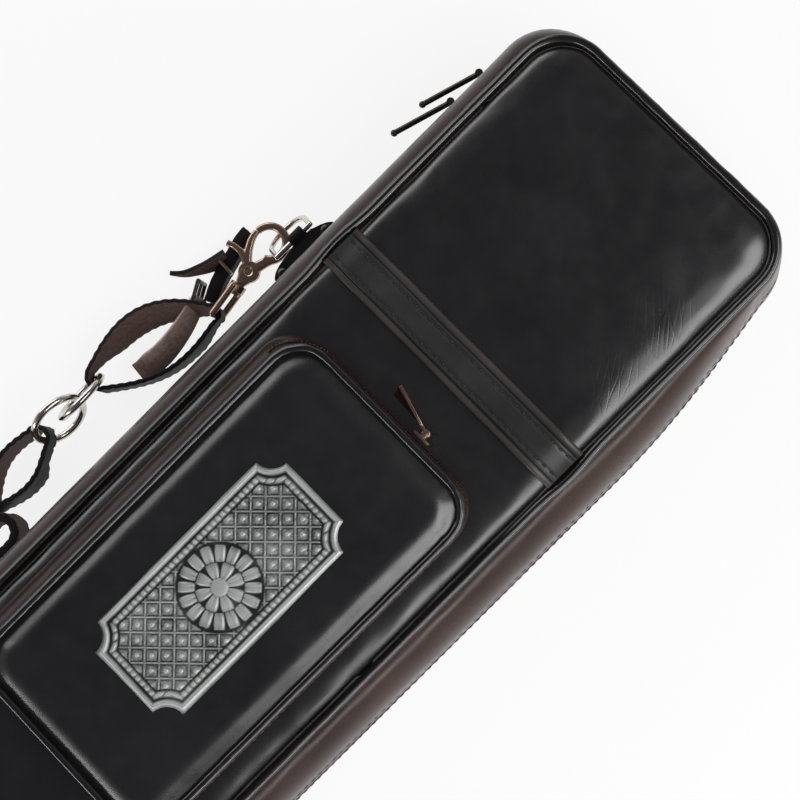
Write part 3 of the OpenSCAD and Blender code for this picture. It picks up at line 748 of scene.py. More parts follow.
def padded_plate(name, half_w, half_l, r, top, bottom, step, surface):
    """A closed pad with rounded corners: a grid fitted to the outline, shaped on top and closed below."""
    clear_selection()
    bpy.ops.mesh.primitive_grid_add(
        x_subdivisions=round(2 * half_w / step), y_subdivisions=round(2 * half_l / step), size=2)
    piece = bpy.context.object
    straight = half_l - r
    whole = straight + r * math.pi / 2

    def place(p):
        run = abs(p.y) * whole
        y = run if run <= straight else straight + r * math.sin(min((run - straight) / r, math.pi / 2))
        y = math.copysign(y, p.y)
        x = p.x * row_half_width(y, half_w, half_l, r)
        return Vector((x, y, top + surface(x, y)))

    shape(piece, place)
    choose(piece, "edges", lambda e: e.is_boundary)
    bpy.ops.mesh.extrude_region_move(TRANSFORM_OT_translate={"value": (0, 0, (bottom - top) / 2)})
    bpy.ops.transform.resize(value=(1, 1, 0))
    bpy.ops.mesh.edge_face_add()
    stop_editing()
    lowest = min(v.co.z for v in piece.data.vertices)
    shape(piece, lambda p: Vector((p.x, p.y, bottom)) if p.z < lowest + 0.01 * MM else p)
    close_mesh(piece)
    smooth(piece, 50)
    piece.name = name
    return piece


def swollen(piece, amount):
    """Moves every point of a piece out along its normal by amount(point)."""
    normals = [vertex.normal.copy() for vertex in piece.data.vertices]
    for vertex, normal in zip(piece.data.vertices, normals):
        vertex.co += normal * amount(vertex.co)
    piece.data.update()
    return piece


def turned_over(piece):
    """Turns a front-half piece into its back-half twin."""
    piece.data.transform(Matrix.Translation((0, 0, CASE_DEPTH)) @ Matrix.Scale(-1, 4, (0, 0, 1)))
    close_mesh(piece)
    return piece


END_BULGE = 0.45
CORNER_BULGE = 0.3
BACK_TUCK = 4 * MM
TAPER_RUN = 125 * MM
CORNER_LATE = 0.35


def side_bulge(x, y):
    """Share of its full bulge that the side leather has: less at the ends and towards the spine's ends."""
    past_x, past_y = abs(x) - (PANEL_HALF_W - PANEL_R), abs(y) - (PANEL_HALF_L - PANEL_R)
    side = 1.0
    if x > 0:
        side = CORNER_BULGE + (1 - CORNER_BULGE) * math.sin(math.pi / 2 * min(1, max(0, -past_y) / TAPER_RUN))
    if past_y <= 0:
        return side
    if past_x <= 0:
        return END_BULGE
    late = CORNER_LATE if x > 0 else 0.0
    turn = eased((math.atan2(past_y, past_x) / (math.pi / 2) - late) / (1 - late))
    return side + (END_BULGE - side) * turn


def kept_reach(past, share):
    """How far out a point stays: its full reach beside the piping, and a share of it at the widest part."""
    full = SIDE_HI.x - PANEL_HALF_W
    return past * (share + (1 - share) * max(0, 1 - past / full) ** 2)


def drawn_in(piece):
    """Draws what lies outside the panel's outline towards it, by the share that the bulge has there."""
    def place(p):
        deep = from_edge(p.x, p.y, PANEL_HALF_W, PANEL_HALF_L, PANEL_R)
        if deep >= 0:
            return p
        out = (p - core_point(p, PANEL_HALF_W, PANEL_HALF_L, PANEL_R)).normalized()
        return p + out * (deep + kept_reach(-deep, side_bulge(p.x, p.y)))

    shape(piece, place)
    return piece


class CUECASE_OT_panels(bpy.types.Operator):
    """Model the padded front and back panels"""
    bl_idname = "cue_case.panels"
    bl_label = "Padded panels"

    def execute(self, context):
        for half, flip in HALVES:
            piece = padded_plate(
                half + "_pad", PANEL_HALF_W, PANEL_HALF_L, PANEL_R, CASE_DEPTH, PANEL_LO.z, 2.6 * MM,
                self.back_surface if flip else self.front_surface)
            if flip:
                turned_over(piece)
                smooth(piece, 50)
            hand_over(piece, f"{half}_padded_panel", f"{half}_half", finish("panel"),
                      [f"{half}_panel"])
        return {"FINISHED"}

    def sunk_edge(self, x, y):
        """How far the panel sinks towards its piping."""
        deep = from_edge(x, y, PANEL_HALF_W, PANEL_HALF_L, PANEL_R)
        past = 1 - min(max(deep / sizes().edge_run, 0), 1)
        return sizes().edge_drop * (1 - math.sqrt(1 - 0.98 * past * past))

    def front_surface(self, x, y):
        deep = from_edge(x, y, PANEL_HALF_W, PANEL_HALF_L, PANEL_R)
        inside = eased(deep / (30 * MM))
        free = eased((y - BAND_HI.y) / (45 * MM))
        swell = sizes().crown * free * eased(deep / (55 * MM))
        waves = (0.7 * rough((x, y, 0), 62 * MM, 1.3) + 0.25 * rough((x, y * 1.6, 0), 21 * MM, 4.1)) * MM
        pulled = 0.5 * MM * rough((x * 2.2, y * 0.8, 0), 17 * MM, 7.7) * (1 - inside)
        hollow = 0.5 * MM * (1 - free) * inside
        return swell + waves * inside * (0.35 + free) - hollow - self.sunk_edge(x, y) + pulled

    def back_surface(self, x, y):
        deep = from_edge(x, y, PANEL_HALF_W, PANEL_HALF_L, PANEL_R)
        dents = 0.3 * MM * (rough((x, y, 0), 55 * MM, 9.2) - 1) * eased(deep / (30 * MM))
        return dents - self.sunk_edge(x, y)


class CUECASE_OT_piping(bpy.types.Operator):
    """Model the piping round the two panels"""
    bl_idname = "cue_case.piping"
    bl_label = "Panel piping"

    def execute(self, context):
        for half, flip in HALVES:
            piece = carried_round(
                half + "_bead", circle_profile(0, PIPE_MID.z, PIPE_R), PIPE_HI.x - PIPE_R, PIPE_HI.y - PIPE_R,
                PANEL_R + PIPE_R, 2.5 * MM)
            swollen(piece, lambda p: sizes().pucker * (rough(p, 9 * MM, 2.0) + 0.7 * rough(p, 3.5 * MM, 5.0)))
            if not flip:
                shape(piece, self.kinked)
            else:
                shape(piece, self.tucked)
                turned_over(piece)
            smooth(piece, 60)
            hand_over(piece, f"{half}_panel_piping", f"{half}_half", finish("piping"),
                      [f"{half}_piping"])
        return {"FINISHED"}

    def tucked(self, p):
        """The back's piping lies further in where the side leather is drawn in beside the spine's ends."""
        core = core_point(p, PANEL_HALF_W, PANEL_HALF_L, PANEL_R)
        if p.x < 0 or (p - core).length < 1 * MM:
            return p
        out = (p - core).normalized()
        return p - out * max(0, out.x) * BACK_TUCK * (1 - side_bulge(p.x, p.y))

    def kinked(self, p):
        """The band's ends push the piping out a little where they are sewn in."""
        near = 1 - eased(abs(p.y - BAND_MID.y) / (24 * MM))
        return p + Vector((math.copysign(1.6 * MM * near, p.x), 0, 0.5 * MM * near))


class CUECASE_OT_gussets(bpy.types.Operator):
    """Model the bulging side leather of both halves"""
    bl_idname = "cue_case.gussets"
    bl_label = "Side leather"

    def execute(self, context):
        bulge = SIDE_HI.x - PANEL_HALF_W
        top, low = SIDE_HI.z, SIDE_LO.z
        wall = 2.6 * MM
        steps = 18

        def arc(grow):
            return [((bulge - grow) * math.sin(a), low + (top - grow - low) * math.cos(a))
                    for a in (math.pi / 2 * i / steps for i in range(steps + 1))]

        for half, flip in HALVES:
            piece = carried_round(
                half + "_side", arc(0) + arc(wall)[::-1], PANEL_HALF_W, PANEL_HALF_L, PANEL_R, 3 * MM)
            seed = 3.0 if flip else 0.0
            swollen(drawn_in(piece), lambda p: self.folds(p, seed))
            if flip:
                turned_over(piece)
            smooth(piece, 50)
            hand_over(piece, f"{half}_side_leather", f"{half}_half", finish("side"),
                      [f"{half}_gusset"])
            self.add_seam(half, flip, bulge, low, top)
        return {"FINISHED"}

    def add_seam(self, half, flip, bulge, low, top):
        """Stitches of the side leather beside the spine."""
        height = box_of("spine")[1].z + 1.6 * MM
        out = bulge * math.sqrt(1 - ((height - low) / (top - low)) ** 2)
        reach = PANEL_HALF_L - PANEL_R
        outward = Vector((1, 0, 0.2)).normalized()
        run = []
        for point, along, _ in straight_run((0, -reach, height), (0, reach, height), outward):
            point.x = PANEL_HALF_W + kept_reach(out, side_bulge(PANEL_HALF_W + out, point.y))
            run.append((point, along, outward))
        seam = stitched_line(run, half + "_seam", 0.2 * MM)
        if flip:
            turned_over(seam)
        hand_over(seam, f"{half}_side_stitches", f"{half}_half", finish("pale_thread"))

    def folds(self, p, seed):
        """Long sags and short folds that run down from the piping."""
        low = eased((p.z - SIDE_LO.z) / (6 * MM))
        high = eased((SIDE_HI.z - p.z) / (5 * MM))
        down = Vector((p.x / 11, p.y / 11, p.z / 60)) / MM
        short = noise.noise(down + Vector((seed, 2.0, 0))) * (0.3 + 0.7 * eased((p.z - 70 * MM) / (20 * MM)))
        sag = rough(p, 70 * MM, 6.0 + seed)
        return sizes().wrinkle * (0.55 * short + 0.8 * sag) * low * high


class CUECASE_OT_spine(bpy.types.Operator):
    """Model the leather spine between the halves"""
    bl_idname = "cue_case.spine"
    bl_label = "Spine"

    def execute(self, context):
        lo, hi, mid = box_of("spine")
        piece = block(hi - lo, mid)
        cut(piece, 11, lambda e: span(e, Z) > (hi.z - lo.z) * 0.5)
        cut(piece, 196, lambda e: span(e, Y) > (hi.y - lo.y) * 0.5)
        stop_editing()
        drawn_in(piece)
        swollen(piece, lambda p: 0.12 * MM * rough((p.x, p.y, p.z * 0.3), 9 * MM, 8.0))
        smooth(piece, 50)
        piece.name = "spine_leather"
        piece.data.name = "spine_leather"
        piece.data.materials.append(finish("side"))
        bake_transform(piece)
        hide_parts("spine")
        return {"FINISHED"}


# Zipper along the open side and both ends

def zipper_run(half_w, half_l, r, pitch):
    """Points and directions round the outline without its right side, spaced by a pitch."""
    straight_l, straight_w, bend_l = 2 * (half_l - r), 2 * (half_w - r), r * math.pi / 2
    parts = [("bend", 0), ("side", straight_w, (half_w - r, half_l), math.pi), ("bend", 1),
             ("side", straight_l, (-half_w, half_l - r), -math.pi / 2), ("bend", 2),
             ("side", straight_w, (r - half_w, -half_l), 0), ("bend", 3)]
    centres = corner_centres(half_w, half_l, r)
    for part in parts:
        length = bend_l if part[0] == "bend" else part[1]
        count = max(1, round(length / pitch))
        for i in range(count):
            t = (i + 0.5) / count
            if part[0] == "bend":
                angle = math.pi / 2 * (part[1] + t)
                x, y = centres[part[1]]
                yield Vector((x + r * math.cos(angle), y + r * math.sin(angle), 0)), angle + math.pi / 2
            else:
                (x, y), heading = part[2], part[3]
                run = t * length
                yield Vector((x + run * math.cos(heading), y + run * math.sin(heading), 0)), heading


class CUECASE_OT_zipper(bpy.types.Operator):
    """Model the main zipper's tapes and teeth"""
    bl_idname = "cue_case.zipper"
    bl_label = "Main zipper"

    def execute(self, context):
        tape_lo, tape_hi, tape_mid = box_of("front_zipper_tape")
        tooth_lo, tooth_hi, tooth_mid = box_of("front_zipper_teeth")
        reach = -tape_lo.x - PANEL_HALF_W
        wall = 1.2 * MM
        for half, flip in HALVES:
            section = [(reach, tape_lo.z), (reach, tape_mid.z), (reach, tape_hi.z), (reach - wall, tape_hi.z),
                       (reach - wall, tape_mid.z), (reach - wall, tape_lo.z)]
            tape = carried_round(half + "_tape", section, PANEL_HALF_W, PANEL_HALF_L, PANEL_R, 5 * MM,
                                 right=False)
            self.cap_ends(tape)
            swollen(tape, lambda p: 0.12 * MM * rough(p, 14 * MM, 3.0))
            teeth = self.row_of_teeth(tooth_lo, tooth_hi, tooth_mid)
            drawn_in(tape)
            drawn_in(teeth)
            if flip:
                turned_over(tape)
                turned_over(teeth)
            smooth(tape, 40)
            smooth(teeth, 40)
            hand_over(tape, f"{half}_tape_cloth", f"{half}_half", finish("tape"),
                      [f"{half}_zipper_tape"])
            hand_over(teeth, f"{half}_teeth_row", f"{half}_half", finish("teeth"),
                      [f"{half}_zipper_teeth"])
        return {"FINISHED"}

    def cap_ends(self, tape):
        choose(tape, "edges", lambda e: e.is_boundary)
        bpy.ops.mesh.fill()
        stop_editing()
        close_mesh(tape)

    def row_of_teeth(self, lo, hi, mid):
        """One moulded tooth with a rounded head, copied along the tape."""
        pitch = sizes().tooth_pitch
        tooth = block((pitch * 0.55, 2.6 * MM, hi.z - lo.z))
        choose(tooth, "edges", lambda e: span(e, Z) < 0.1 * MM)
        bpy.ops.mesh.bevel(offset=0.35 * MM, segments=2, affect="EDGES")
        stop_editing()
        inset = 1.5 * MM
        half_w, half_l, r = -lo.x - inset, hi.y - inset, PANEL_R + (-lo.x - PANEL_HALF_W) - inset
        places = [Matrix.Translation(point + Vector((0, 0, mid.z))) @ Matrix.Rotation(heading, 4, "Z")
                  for point, heading in zipper_run(half_w, half_l, r, pitch)]
        return repeated(tooth, places, "teeth_row")


def rounded(piece, width, segments, angle):
    """Rounds the edges of a piece that are sharper than an angle."""
    add_modifier(piece, "BEVEL", width=width, segments=segments, limit_method="ANGLE",
                 angle_limit=math.radians(angle))


def refined(node, name, edge, segments=2):
    """A copy of a frame node with its sharp edges rounded."""
    piece = copied(node, name)
    rounded(piece, edge, segments, 30)
    smooth(piece, 40)
    return piece


PIN_END = 7 * MM


class CUECASE_OT_sliders(bpy.types.Operator):
    """Model the main sliders with their bar pulls and the pocket sliders with their tabs"""
    bl_idname = "cue_case.sliders"
    bl_label = "Sliders and pulls"

    def execute(self, context):
        for end in ENDS:
            for where, slot, look in (
                    ("", "dark_metal", "dark_metal"), ("_pocket", "bronze_metal", "bronze")):
                name = end + where
                slider = refined(f"{name}_slider", f"{name}_slider_body", 0.35 * MM)
                hand_over(slider, f"{name}_slider_body", f"{name}_slider", finish(look),
                          [f"{name}_slider"])
                pull = refined(f"{name}_pull", f"{name}_pull_bar", 0.3 * MM)
                if where:
                    self.lean_out(pull)
                hand_over(pull, f"{name}_pull_bar", f"{name}_pull", finish(look), [f"{name}_pull"])
        return {"FINISHED"}

    def lean_out(self, pull):
        """Twists a tab pull more and more towards its free end, as it hangs loosely on its pin."""
        add_modifier(pull, "SUBSURF", subdivision_type="SIMPLE", levels=2, render_levels=2)
        lo = Vector([min(v.co[i] for v in pull.data.vertices) for i in range(3)])
        hi = Vector([max(v.co[i] for v in pull.data.vertices) for i in range(3)])
        length = hi.x - lo.x

        def place(p):
            along = min(1, max(0, (hi.x - PIN_END - p.x) / (length - PIN_END)))
            below = hi.z - p.z
            return Vector((p.x, p.y - below * 0.8 * along, p.z + below * 0.25 * along))

        shape(pull, place)
        smooth(pull, 40)


# Stitching

def stitch(length, width, height):
    """One stitch along X: a short thread that dips into a punched hole at both ends."""
    clear_selection()
    bpy.ops.mesh.primitive_cylinder_add(vertices=6, radius=0.5, depth=1, rotation=(0, math.pi / 2, 0))
    piece = bpy.context.object
    piece.scale = (height, width, length)
    settle(piece)
    cut(piece, 3, lambda e: span(e, X) > length * 0.5)
    stop_editing()

    def dipped(p):
        end = abs(p.x) / (length / 2)
        return Vector((p.x, p.y * (1 - 0.35 * end ** 3), p.z - height * 0.9 * end ** 3))

    shape(piece, dipped)
    parts = [piece]
    for end in (-1, 1):
        clear_selection()
        bpy.ops.mesh.primitive_cylinder_add(
            vertices=8, radius=width * 0.75, depth=height * 0.3,
            location=(end * length * 0.52, 0, -height * 0.35))
        parts.append(bpy.context.object)
        settle(parts[-1])
    piece = join(parts, "stitch")
    smooth(piece, 60)
    return piece


def stitched_line(run, name, lift, length_share=0.72, width=0.75 * MM):
    """Stitches along a run of (point, direction, outward) places."""
    pitch = sizes().stitch_pitch
    one = stitch(pitch * length_share, width, width * 0.8)
    places = [Matrix.Translation(Vector(point) + outward * lift) @ turned_to(direction, outward)
              for point, direction, outward in run]
    return repeated(one, places, name)


def straight_run(start, end, outward=Vector((0, 0, 1))):
    """Stitch places from start to end, spaced evenly."""
    start, end = Vector(start), Vector(end)
    count = max(1, round((end - start).length / sizes().stitch_pitch))
    for i in range(count):
        yield start.lerp(end, (i + 0.5) / count), end - start, outward


SEAM_IN = 2.6 * MM
BEAD_R = 2.1 * MM


class CUECASE_OT_band(bpy.types.Operator):
    """Model the band across the front: a rolled lower layer, a stitched upper layer and its thread"""
    bl_idname = "cue_case.band"
    bl_label = "Front band"

    def execute(self, context):
        base = self.layer("band_base", 1.1 * MM, 2.4, rolled=1.3 * MM)
        # The lower layer's finish holds a painted highlight: the strap leather made four times lighter.
        hand_over(base, "band_lower_layer", "front_half", finish("band"), ["band_base"])
        top = self.layer("band_top", 0.9 * MM, 5.1)
        hand_over(top, "band_upper_layer", "front_half", finish("band_top"), ["band_top"])
        lo, hi, mid = box_of("band_top")
        lines = []
        for side in (-1, 1):
            y = mid.y + side * ((hi.y - lo.y) / 2 - SEAM_IN)
            run = [((p.x, p.y, hi.z - self.droop(p.x, hi)), along, outward)
                   for p, along, outward in straight_run((lo.x + 2 * MM, y, hi.z), (hi.x - 2 * MM, y, hi.z))]
            lines.append(stitched_line(run, f"band_stitches_{side}", 0.05 * MM, 0.40, 0.85 * MM))
        seam = join(lines, "band_stitches")
        hand_over(seam, "band_stitches", "front_half", finish("thread"))
        return {"FINISHED"}

    def droop(self, x, hi):
        """How far the band dips to its sewn ends."""
        return 3.2 * MM * (1 - eased((hi.x - abs(x)) / (16 * MM)))

    def layer(self, node, roll, seed, rolled=0.0):
        lo, hi, mid = box_of(node)
        piece = block(hi - lo, mid)
        choose(piece, "edges", lambda e: span(e, X) > 0.01)
        bpy.ops.mesh.bevel(offset=roll, segments=4, affect="EDGES")
        cut(piece, 70, lambda e: span(e, X) > 0.01)
        cut(piece, 48, lambda e: span(e, Y) > (hi.y - lo.y) * 0.5)
        stop_editing()
        half = (hi.y - lo.y) / 2

        def place(p):
            across = (p.y - mid.y) / half
            sewn = p.z > mid.z and not rolled
            from_rim = half * (1 - abs(across))
            groove = 0.3 * MM * ridge(from_rim - SEAM_IN, 0.9 * MM) if sewn else 0
            wave = 0.18 * MM * rough((p.x, p.y, 0), 26 * MM, seed)
            off = (from_rim - BEAD_R) / BEAD_R
            bead = rolled * math.sqrt(max(0, 1 - off * off)) if p.z > mid.z else 0
            return Vector((p.x, p.y + wave * 2, p.z - self.droop(p.x, hi) - groove + bead))

        shape(piece, place)
        smooth(piece, 60)
        return piece


# Pockets

POCKET_R = 20 * MM
POCKET_WALL = 2.2 * MM
POCKET_STEP = 2.4 * MM
HINGE_SPREAD = 8.5 * MM
TUCK = 2 * MM
TUCK_SHARE = 0.85
ZIP_SHOWS = 2.8 * MM


class PocketPlace:
    """Sizes of one pocket, taken from its frame nodes."""

    def __init__(self, end):
        bead_lo, bead_hi, self.mid = box_of(f"{end}_pocket_piping")
        self.bead_r = (bead_hi.z - bead_lo.z) / 2
        self.half_w = (bead_hi.x - bead_lo.x) / 2 - self.bead_r
        self.half_l = (bead_hi.y - bead_lo.y) / 2 - self.bead_r
        self.wall_lo, self.wall_hi, _ = box_of(f"{end}_pocket_wall")
        self.rim_lo, self.rim_hi, _ = box_of(f"{end}_pocket_rim")
        self.face_lo, self.face_hi, _ = box_of(f"{end}_pocket_face")
        self.foot_flare = self.wall_hi.x - self.mid.x - self.half_w
        self.zip_flare = self.rim_hi.x - self.mid.x - self.half_w
        self.shift = Vector((self.mid.x, self.mid.y, 0))

    def ring(self, name, profile, step, right=True):
        return carried_round(name, profile, self.half_w, self.half_l, POCKET_R, step, right=right)

    def leaned(self, piece):
        """Spreads the hinge side's foot outwards and tucks the other walls in under the bead."""
        height = self.rim_hi.z - self.wall_lo.z

        def place(p):
            out = (p - core_point(p, self.half_w, self.half_l, POCKET_R)).normalized()
            low = 1 - min(1, max(0, (p.z - self.wall_lo.z) / height))
            hinged = max(0, -out.x) ** 2
            past = -from_edge(p.x, p.y, self.half_w, self.half_l, POCKET_R)
            most = self.bead_r - TUCK + ZIP_SHOWS * max(0, out.y) ** 2
            tuck = max(0, past - most) * TUCK_SHARE
            return p + out * (HINGE_SPREAD * low * hinged - tuck * (1 - hinged))

        shape(piece, place)
        return piece

    def corner(self, p):
        """One near a corner of the pocket, none along its sides."""
        x, y = abs(p.x) - (self.half_w - POCKET_R), abs(p.y) - (self.half_l - POCKET_R)
        return eased(min(x, y) / (8 * MM) + 1)


class CUECASE_OT_pockets(bpy.types.Operator):
    """Model both pockets: walls, zippers, rims, padded faces and piping"""
    bl_idname = "cue_case.pockets"
    bl_label = "Pockets"

    def execute(self, context):
        for end in ENDS:
            place = PocketPlace(end)
            self.add_wall(end, place)
            self.add_rim(end, place)
            self.add_zipper(end, place)
            self.add_face(end, place)
            self.add_bead(end, place)
        return {"FINISHED"}

    def sloped(self, low, high, out_low, out_high, belly, wall, steps=9):
        """Section of a thin wall between two heights that swells by its belly."""
        outer = []
        for i in range(steps + 1):
            t = i / steps
            out = out_low + (out_high - out_low) * t + belly * math.sin(math.pi * t)
            outer.append((out, low + (high - low) * t))
        return outer + [(out - wall, up) for out, up in reversed(outer)]

    def add_wall(self, end, place):
        section = self.sloped(
            place.wall_lo.z, place.wall_hi.z, place.foot_flare, place.zip_flare, 0.7 * MM, POCKET_WALL)
        wall = place.ring(end + "_wall", section, POCKET_STEP)

        def uneven(p):
            folds = (0.35 + 0.65 * place.corner(p)) * rough((p.x, p.y, p.z * 0.25), 6 * MM, 5.0)
            above_seam = eased((p.z - place.wall_lo.z) / (2 * MM))
            return 0.4 * MM * (0.5 * rough(p, 30 * MM, 2.0) + folds) * above_seam

        swollen(wall, uneven)
        place.leaned(wall)
        smooth(wall, 55)
        hand_over(moved(wall, place.shift), f"{end}_pocket_side", "front_half",
                  finish("side"), [f"{end}_pocket_wall"])
        height = place.wall_lo.z + 3 * MM
        out = place.foot_flare - 0.45 * MM
        runs = []
        for side in (-1, 1):
            if side < 0:
                reach = -(place.half_w + out) - (HINGE_SPREAD - 1.2 * MM)
            else:
                reach = place.half_w + place.bead_r - TUCK + (1 - TUCK_SHARE) * (out - place.bead_r + TUCK)
            straight = place.half_l - POCKET_R
            run = straight_run((reach, -straight, height), (reach, straight, height),
                               Vector((side, 0, 1 if side < 0 else 0.2)).normalized())
            runs.append(stitched_line(run, f"{end}_run_{side}", 0.1 * MM))
        seam = moved(join(runs, end + "_seam"), place.shift)
        hand_over(seam, f"{end}_pocket_foot_stitches", "front_half", finish("thread"))

    def add_rim(self, end, place):
        section = self.sloped(
            place.rim_lo.z, place.rim_hi.z, place.zip_flare, place.bead_r, 0.4 * MM, POCKET_WALL)
        rim = place.ring(end + "_rim", section, POCKET_STEP)
        swollen(rim, lambda p: 0.35 * MM * (0.3 + 0.7 * place.corner(p))
                * rough((p.x, p.y, p.z * 0.25), 6 * MM, 8.0))
        place.leaned(rim)
        smooth(rim, 55)
        moved(rim, place.shift)
        rim.name = f"{end}_pocket_upper_side"
        rim.data.name = rim.name
        rim.data.materials.append(finish("side"))
        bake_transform(rim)
        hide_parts(f"{end}_pocket_rim")

    def add_zipper(self, end, place):
        """Tape and teeth along the wall's upper edge, open on the left."""
        lo, hi, _ = box_of(f"{end}_pocket_zipper")
        out = place.zip_flare + 0.15 * MM
        spread = hi.x - place.mid.x - place.half_w - place.zip_flare
        section = self.sloped(lo.z, hi.z, spread + out - 0.6 * MM, out + 0.7 * MM, 0, 0.6 * MM, 4)
        tape = place.ring(end + "_zip", section, 4 * MM, right=False)
        pitch = sizes().tooth_pitch * 0.8
        tooth = block((pitch * 0.55, 1.6 * MM, 1.7 * MM))
        choose(tooth, "edges", lambda e: True)
        bpy.ops.mesh.bevel(offset=0.25 * MM, segments=1, affect="EDGES")
        stop_editing()
        reach = out + 0.6 * MM
        line = zipper_run(place.half_w + reach, place.half_l + reach, POCKET_R + reach, pitch)
        places = [Matrix.Translation(p + Vector((0, 0, hi.z - 0.2 * MM))) @ Matrix.Rotation(heading, 4, "Z")
                  for p, heading in line]
        teeth = repeated(tooth, places, end + "_zip_teeth")
        row = join([tape, teeth], end + "_zip_strip")
        row.data.transform(Matrix.Scale(-1, 4, (1, 0, 0)))
        place.leaned(row)
        close_mesh(row)
        smooth(row, 40)
        hand_over(moved(row, place.shift), f"{end}_pocket_zip_strip", "front_half",
                  finish("bright_teeth"), [f"{end}_pocket_zipper"])

    def add_face(self, end, place):
        half_w, half_l = place.half_w - 0.6 * MM, place.half_l - 0.6 * MM

        def surface(x, y):
            deep = from_edge(x, y, half_w, half_l, POCKET_R)
            sunk = 4.2 * MM * (1 - eased(deep / (15 * MM))) ** 1.4
            puckers = 0.5 * MM * rough((x * 1.3, y * 1.3, 0), 8 * MM, 4.4) * (1 - eased(deep / (16 * MM)))
            waves = (0.45 * MM * (rough((x, y, 0), 48 * MM, 6.6) - 0.6)
                     + 0.12 * MM * rough((x, y, 0), 15 * MM, 1.1))
            return waves - sunk + puckers * place.corner(Vector((x, y, 0)))

        face = padded_plate(
            end + "_face", half_w, half_l, POCKET_R, place.face_hi.z, place.face_lo.z, 1.9 * MM, surface)
        hand_over(moved(face, place.shift), f"{end}_pocket_padded_face", f"{end}_pocket_lid",
                  finish("panel"), [f"{end}_pocket_face"])

    def add_bead(self, end, place):
        section = circle_profile(0, place.mid.z, place.bead_r + 0.2 * MM, 12)
        bead = place.ring(end + "_bead", section, 1.9 * MM)
        swollen(bead, lambda p: sizes().pucker * ((0.6 + 1.1 * place.corner(p)) * rough(p, 4 * MM, 7.0)
                                                 + 0.5 * rough(p, 12 * MM, 1.0)))
        smooth(bead, 60)
        hand_over(moved(bead, place.shift), f"{end}_pocket_bead", f"{end}_pocket_lid",
                  finish("piping"), [f"{end}_pocket_piping"])


